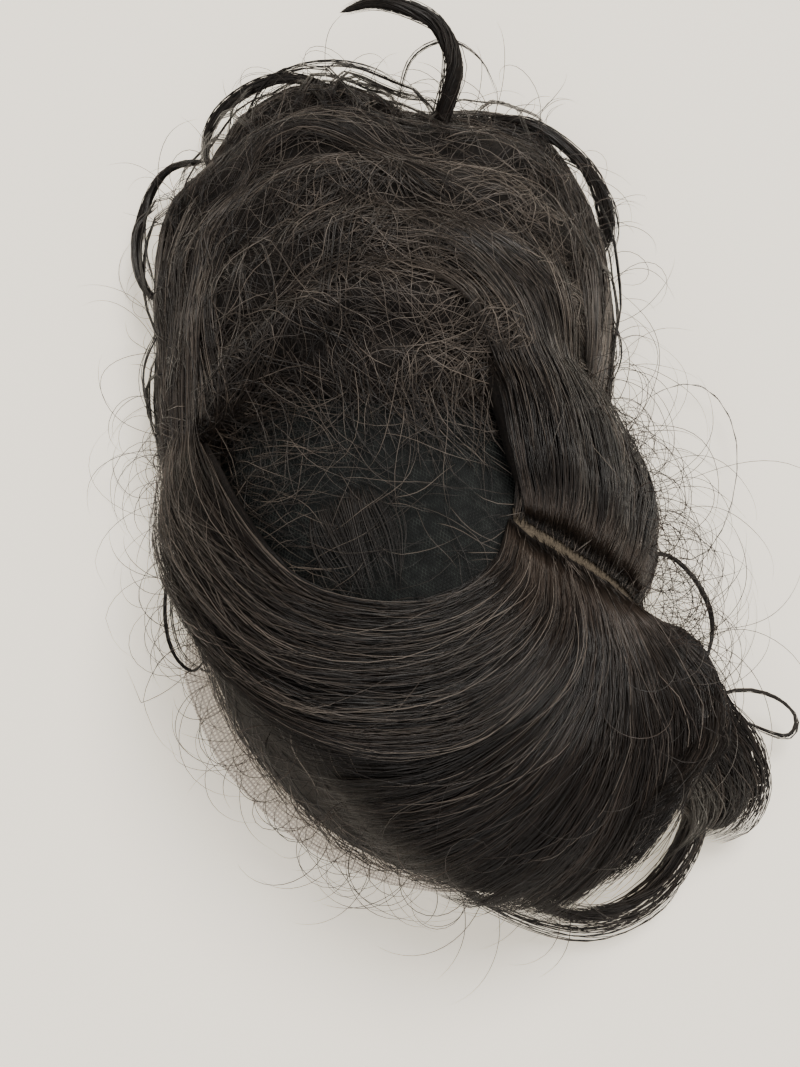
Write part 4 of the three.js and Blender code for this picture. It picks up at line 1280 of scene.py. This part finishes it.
def spill_hairs(count, rings, seed):
    """Hair that spills from the mound's edge over the net."""
    rng, t = start_hairs(seed, rings)
    degrees = 40 + 97 * rng.random(count) ** 0.75
    start = mound_point(degrees, rng.uniform(0, 0.1, count))
    side, back, _ = cap_place(start[:, 0], start[:, 1])
    height = start[:, 2] - dome(side, back)[:, 2]
    heading = np.radians(degrees) + math.pi + rng.normal(0.5, 0.7, count)
    step = rng.uniform(0.012, 0.05, count) / (rings - 1)
    bend = rng.normal(12, 22, count)
    places = dome_walk(side, back, heading, bend, step, rings, 0.12, rng.uniform(0, 6, count))
    arch = 0.002 * np.sin(math.pi * t) * rng.random((count, 1))
    lift = 0.0006 + height[:, None] * (1 - smooth(0, 0.6, t)) + arch
    on_crown = np.hypot(*places).max(axis=1) < SPILL_REACH
    paths = over_dome(*places, lift)[on_crown]
    hair_piece("spill_hairs", paths, rng, WILD_HAIR, radius=1.1 * FINE_RADIUS)


# Curls and loose locks
LINE_POINTS = 97
LINE_ROUNDS = 40
BODY_RINGS = 26
BODY_SIDES = 10


def curl_line(curl):
    """A curl's middle line, rounded off between the places that it passes."""
    line = spline(curl_places(curl), np.linspace(0, 1, LINE_POINTS))
    for _ in range(LINE_ROUNDS):
        line[1:-1] = (line[:-2] + 2 * line[1:-1] + line[2:]) / 4
    return line


def curl_frame(curl, along):
    """Middle, sideways and upright directions along a curl."""
    line = curl_line(curl)
    ways = unit(np.gradient(line, axis=0))
    at = along * (len(line) - 1)
    centre, ahead = (
        np.stack([np.interp(at, np.arange(len(line)), axis) for axis in numbers.T], -1)
        for numbers in (line, ways)
    )
    wide = unit(np.stack([-ahead[:, 1], ahead[:, 0], 0 * ahead[:, 0]], -1))
    return centre, wide, np.cross(unit(ahead), wide)


def curl_body(name, curl):
    along = np.linspace(0, 1, BODY_RINGS)
    centre, wide, deep = curl_frame(curl, along)
    swell = np.sin(math.pi * np.minimum(1, 0.08 + along * 0.92)) ** 0.45
    radius = (curl["body"] * curl["thick"] * np.clip(swell, 0.02, 1))[:, None, None]
    turns = np.arange(BODY_SIDES)[:, None] * 2 * math.pi / BODY_SIDES
    wheel = wide[:, None] * np.cos(turns) + 0.75 * deep[:, None] * np.sin(turns)
    walls = centre[:, None] + wheel * radius
    walls[0], walls[-1] = centre[0], centre[-1]
    finish_piece(loft_object(name, walls), HAIR_DEPTH, "hair", name)


def curl_strands(name, curl, count, rings, seed, material, each=14):
    """Locks of hair that wind slowly round a curl's middle line."""
    rng, t = start_hairs(seed, rings)
    locks = 2 + count // each
    lock = rng.integers(locks, size=count)

    def shared(low, high, own):
        return rng.uniform(low, high, locks)[lock][:, None] + rng.normal(0, own, (count, 1))

    first = rng.uniform(0, 0.12, (count, 1)) ** 1.3
    last = 1 - rng.uniform(0, 0.35, (count, 1)) ** 1.6
    along = first + (last - first) * t
    centre, wide, deep = curl_frame(curl, along.ravel())
    swell = np.sin(math.pi * np.clip(0.1 + along * 0.86, 0, 1)) ** 0.5
    orbit = shared(0.3, 1.1, 0.14)
    angle = shared(0, 2 * math.pi, 0.3) + 2.5 * along + 0.5 * np.sin(5 * along + shared(0, 6, 0.5))
    reach = (curl["thick"] / 2 * orbit * swell).ravel()[:, None]
    angle = angle.ravel()[:, None]
    paths = centre + wide * np.cos(angle) * reach + 0.8 * deep * np.sin(angle) * reach
    hair_piece(name, paths.reshape(count, rings, 3), rng, material, group=lock)


# Hair that runs from the fringe's outer edge round the puff at the temple
TEMPLE_GUIDES = [
    dict(
        side=[1.09, 1.11, 1.13, 1.18, 1.17, 1.03, 0.83],
        back=[-0.38, -0.59, -0.77, -0.94, -1.1, -1.21, -1.22],
        up=[0.37, 0.39, 0.37, 0.31, 0.22, 0.16, 0.12],
    ),
    dict(
        side=[0.97, 0.99, 1, 1.05, 1.04, 0.92, 0.78], back=[-0.4, -0.63, -0.82, -0.98, -1.1, -1.18, -1.18],
        up=[0.45, 0.51, 0.45, 0.37, 0.29, 0.21, 0.16],
    ),
    dict(
        side=[0.87, 0.83, 0.83, 0.87, 0.86, 0.78, 0.69],
        back=[-0.41, -0.67, -0.87, -1.01, -1.1, -1.15, -1.15], up=[0.51, 0.61, 0.55, 0.45, 0.35, 0.27, 0.2],
    ),
    dict(
        side=[0.71, 0.7, 0.72, 0.75, 0.73, 0.65, 0.53],
        back=[-0.42, -0.64, -0.84, -1.01, -1.12, -1.17, -1.2],
        up=[0.59, 0.69, 0.65, 0.51, 0.37, 0.24, 0.17],
    ),
]


def temple_strands(count, rings, seed):
    rng, t = start_hairs(seed, rings)
    first = rng.uniform(0.04, 0.35, (count, 1))
    along = first + (1 - first) * rng.uniform(0.6, 1, (count, 1)) * t
    across = np.clip(rng.random((count, 1)) + 0.1 * np.sin(4 * t + rng.uniform(0, 6, (count, 1))), 0, 1)
    lanes = [spline(curl_places(guide), along.ravel()) for guide in TEMPLE_GUIDES]
    paths = spline(np.stack(lanes), across.ravel()).reshape(count, rings, 3)
    paths[..., 2] += rng.uniform(-0.001, 0.0015, (count, 1)) - 0.003 * smooth(0.8, 1, t)
    paths[..., :2] += 0.0007 * rng.normal(0, 1, (count, 1, 2)) * np.sin(math.pi * t)[..., None]
    hair_piece("temple_strands", paths, rng, SMOOTH_HAIR)


# Single hairs that stand off the outline and curl over the table
STRAY_MARGIN = 0.012


def stray_hairs(name, starts, headings, rings, seed, length, curl):
    rng = np.random.default_rng(seed)
    count = len(starts)
    low = np.array(cad_bounds[0]) - STRAY_MARGIN
    high = np.array(cad_bounds[1]) + STRAY_MARGIN
    step = rng.uniform(*length, count) / (rings - 1)
    heading = headings + rng.normal(0, 0.6, count)
    bend = rng.choice([-1, 1], count) * rng.uniform(*curl, count)
    tighten = rng.uniform(0.0, 0.05, count)
    slope = rng.normal(0.1, 0.35, count)
    place = starts.copy()
    track = [place]
    for k in range(1, rings):
        way = np.stack([np.cos(heading), np.sin(heading), slope], -1)
        place = place + step[:, None] * way
        place = np.minimum(np.maximum(place, low), high)
        place[:, 2] = np.maximum(place[:, 2], 0.001)
        heading = heading + bend * step * (1 + tighten * k)
        slope = slope - 0.05 + 0.2 * np.sin(0.5 * k + bend)
        track.append(place)
    hair_piece(name, np.stack(track, 1), rng, LOOSE_HAIR, radius=1.15 * FINE_RADIUS)


def cap_strays(count, seed):
    """Strays round the sides and the front of the cap."""
    rng = np.random.default_rng(seed)
    degrees = rng.uniform(-245, 25, count)
    starts = over_dome(*polar(degrees, rng.uniform(0.55, 0.95, count)), 0.004)
    stray_hairs("cap_strays", starts, np.radians(degrees), 17, seed + 1, (0.02, 0.07), (25, 110))


def side_strays(count, seed):
    """More strays on the wearer's left, where the side fall and the fringe have come loose."""
    rng = np.random.default_rng(seed)
    degrees = rng.uniform(-42, 30, count)
    starts = over_dome(*polar(degrees, rng.uniform(0.6, 0.95, count)), 0.010)
    stray_hairs("side_strays", starts, np.radians(degrees), 22, seed + 1, (0.03, 0.085), (20, 85))


def back_strays(count, seed):
    """Strays round the outline of the mound."""
    rng = np.random.default_rng(seed)
    turns = np.linspace(BACK_FIRST + 4, BACK_LAST - 6, 100)
    share = np.cumsum(column(BACK_ROWS, "reach", turns) ** 2)
    degrees = np.interp(rng.random(count), share / share[-1], turns)
    starts = mound_point(degrees, rng.uniform(0.7, 1, count))
    stray_hairs("back_strays", starts, np.radians(degrees), 15, seed + 1, (0.012, 0.045), (20, 120))


# The pieces. For hair the numbers are how many, or how many locks and hairs in each, then the rings
# along a hair and a seed. For the body of a sheet they are its points across and along.
cap_shell()
lace()
part_strip()
part_roots(950, 6, 21)
underlayer_base()
underlayer_hair(860, 9, 22)
crown_hairs("crown_hairs", 220, 10, 23, (-0.5, 0.34), (-0.05, 0.5), 22)
crown_hairs("right_crown_hairs", 330, 10, 25, (-0.66, -0.2), (-0.1, 0.62), 13)
crown_tuft(150, 9, 24)
sheet_base("hair_sweep", SWEEP, 32, 30)
sheet_strands("sweep_strands", SWEEP, 1450, 11, 11, 46)
sheet_base("hair_fringe", FRINGE, 46, 28)
sheet_strands("fringe_strands", FRINGE, 1950, 10, 12, 70)
sheet_strands("bridge_strands", BRIDGE, 520, 12, 16, 18, finish=(0.6, 1.0))
sheet_base("hair_side_fall", SIDE_FALL, 32, 24)
sheet_strands("side_fall_strands", SIDE_FALL, 1020, 9, 13, 44, finish=(0.55, 0.9))
long_hairs("sweep_long_hairs", SWEEP, 55, 14, 71)
long_hairs("sweep_tangle", SWEEP, 190, 12, 77, (0.3, 0.7), 0.3)
long_hairs("bridge_long_hairs", BRIDGE, 40, 14, 72)
long_hairs("fringe_long_hairs", FRINGE, 24, 14, 73)
long_hairs("side_long_hairs", SIDE_FALL, 12, 12, 74)
back_base()
back_strands("back_locks", 155, 12, 13, 14, (0.03, 0.09), 0.0016)
back_strands("back_frizz", 1050, 1, 12, 15, (0.02, 0.06), 0.001, lowest=0)
back_strands("back_loose_hairs", 330, 1, 12, 61, (0.03, 0.09), 0.001, lowest=0.001, loose=(36, 92))
flow_strands("side_flow", SIDE_FALL, SIDE_FLOW, 480, 15, 75)
flow_strands("sweep_flow", SWEEP, SWEEP_FLOW, 360, 15, 76)
stream_strands(14, 17)
rim_loops(30, 9, 10, 19)
skirt_hairs(560, 8, 63)
end_hairs(180, 8, 62)
spill_hairs(640, 9, 18)
# A curl and an arc have more hairs the thicker they are, by so many for each metre
CURL_HAIRS = 12000
ARC_HAIRS = 3000
MOST_CURL_HAIRS = 230
for number, (curl_name, curl_shape) in enumerate(CURLS.items()):
    hairs = min(round(14 + curl_shape["thick"] * CURL_HAIRS), MOST_CURL_HAIRS)
    finish = WILD_HAIR if curl_name == "curl_front" else SMOOTH_HAIR
    curl_body(curl_name, curl_shape)
    curl_strands(curl_name + "_strands", curl_shape, hairs, 16, 30 + number, finish)
for number, (arc_name, arc_shape) in enumerate(ARCS.items()):
    hairs = round(2 + arc_shape["thick"] * ARC_HAIRS)
    curl_strands(arc_name, arc_shape, hairs, 16, 90 + number, SMOOTH_HAIR, 1)
temple_strands(260, 14, 78)
flow_strands("front_flow", FRINGE, FRONT_FLOW, 150, 15, 79)
cap_strays(380, 50)
side_strays(270, 55)
back_strays(270, 60)


# Camera, light and table
CAMERA_AZIMUTH = math.radians(-23)
CAMERA_ELEVATION = math.radians(78)
CAMERA_DISTANCE = 0.525
CAMERA_TARGET = (0.0018, 0.0185, 0.050)
FOCAL_PIXELS = 1500
IMAGE_HEIGHT = 1067
SENSOR = 36
TABLE_REACH = 20.0


def add_camera():
    data = bpy.data.cameras.new("camera")
    data.sensor_fit = "AUTO"
    data.sensor_width = SENSOR
    data.lens = FOCAL_PIXELS / IMAGE_HEIGHT * SENSOR
    data.clip_start = 0.01
    camera = bpy.data.objects.new("camera", data)
    bpy.context.scene.collection.objects.link(camera)
    a, e = CAMERA_AZIMUTH, CAMERA_ELEVATION
    back = Vector((math.sin(a) * math.cos(e), -math.cos(a) * math.cos(e), math.sin(e)))
    right = Vector((math.cos(a), math.sin(a), 0))
    up = back.cross(right)
    place = Vector(CENTRE) + Vector(CAMERA_TARGET) + back * CAMERA_DISTANCE
    turn = Matrix((right, up, back)).transposed().to_4x4()
    camera.matrix_world = Matrix.Translation(place) @ turn
    bpy.context.scene.camera = camera


def add_sun(name, towards, strength, softness, colour):
    """A sun that shines from a direction, with a shadow as soft as its width in the sky."""
    data = bpy.data.lights.new(name, "SUN")
    data.energy = strength
    data.angle = softness
    data.color = colour
    lamp = bpy.data.objects.new(name, data)
    bpy.context.scene.collection.objects.link(lamp)
    lamp.rotation_euler = (-Vector(towards)).to_track_quat("-Z", "Y").to_euler()


def add_table():
    edge = TABLE_REACH
    points = np.array([[-edge, -edge, 0], [edge, -edge, 0], [edge, edge, 0], [-edge, edge, 0]])
    table = mesh_object("table", points, np.array([[0, 1, 2, 3]]))
    look = Look("table", 0.6, 0.5)
    glow = {"Emission Color": (1.0, 0.86, 0.62, 1), "Emission Strength": 0.42}
    look.fill(look.finish, {"Base Color": (0.93, 0.875, 0.785, 1), **glow})
    table.data.materials.append(look.material)


def add_world():
    world = bpy.data.worlds.new("studio")
    bpy.context.scene.world = world
    world.use_nodes = True
    background = world.node_tree.nodes["Background"]
    background.inputs["Color"].default_value = (0.93, 0.93, 0.92, 1)
    background.inputs["Strength"].default_value = 0.6


add_camera()
add_sun("ceiling lamp", (0.45, 0.35, 1.0), 3.5, 0.5, (1.0, 0.97, 0.92))
add_sun("fill", (-0.5, -0.6, 0.9), 1.3, 1.2, (1.0, 0.98, 0.96))
add_table()
add_world()
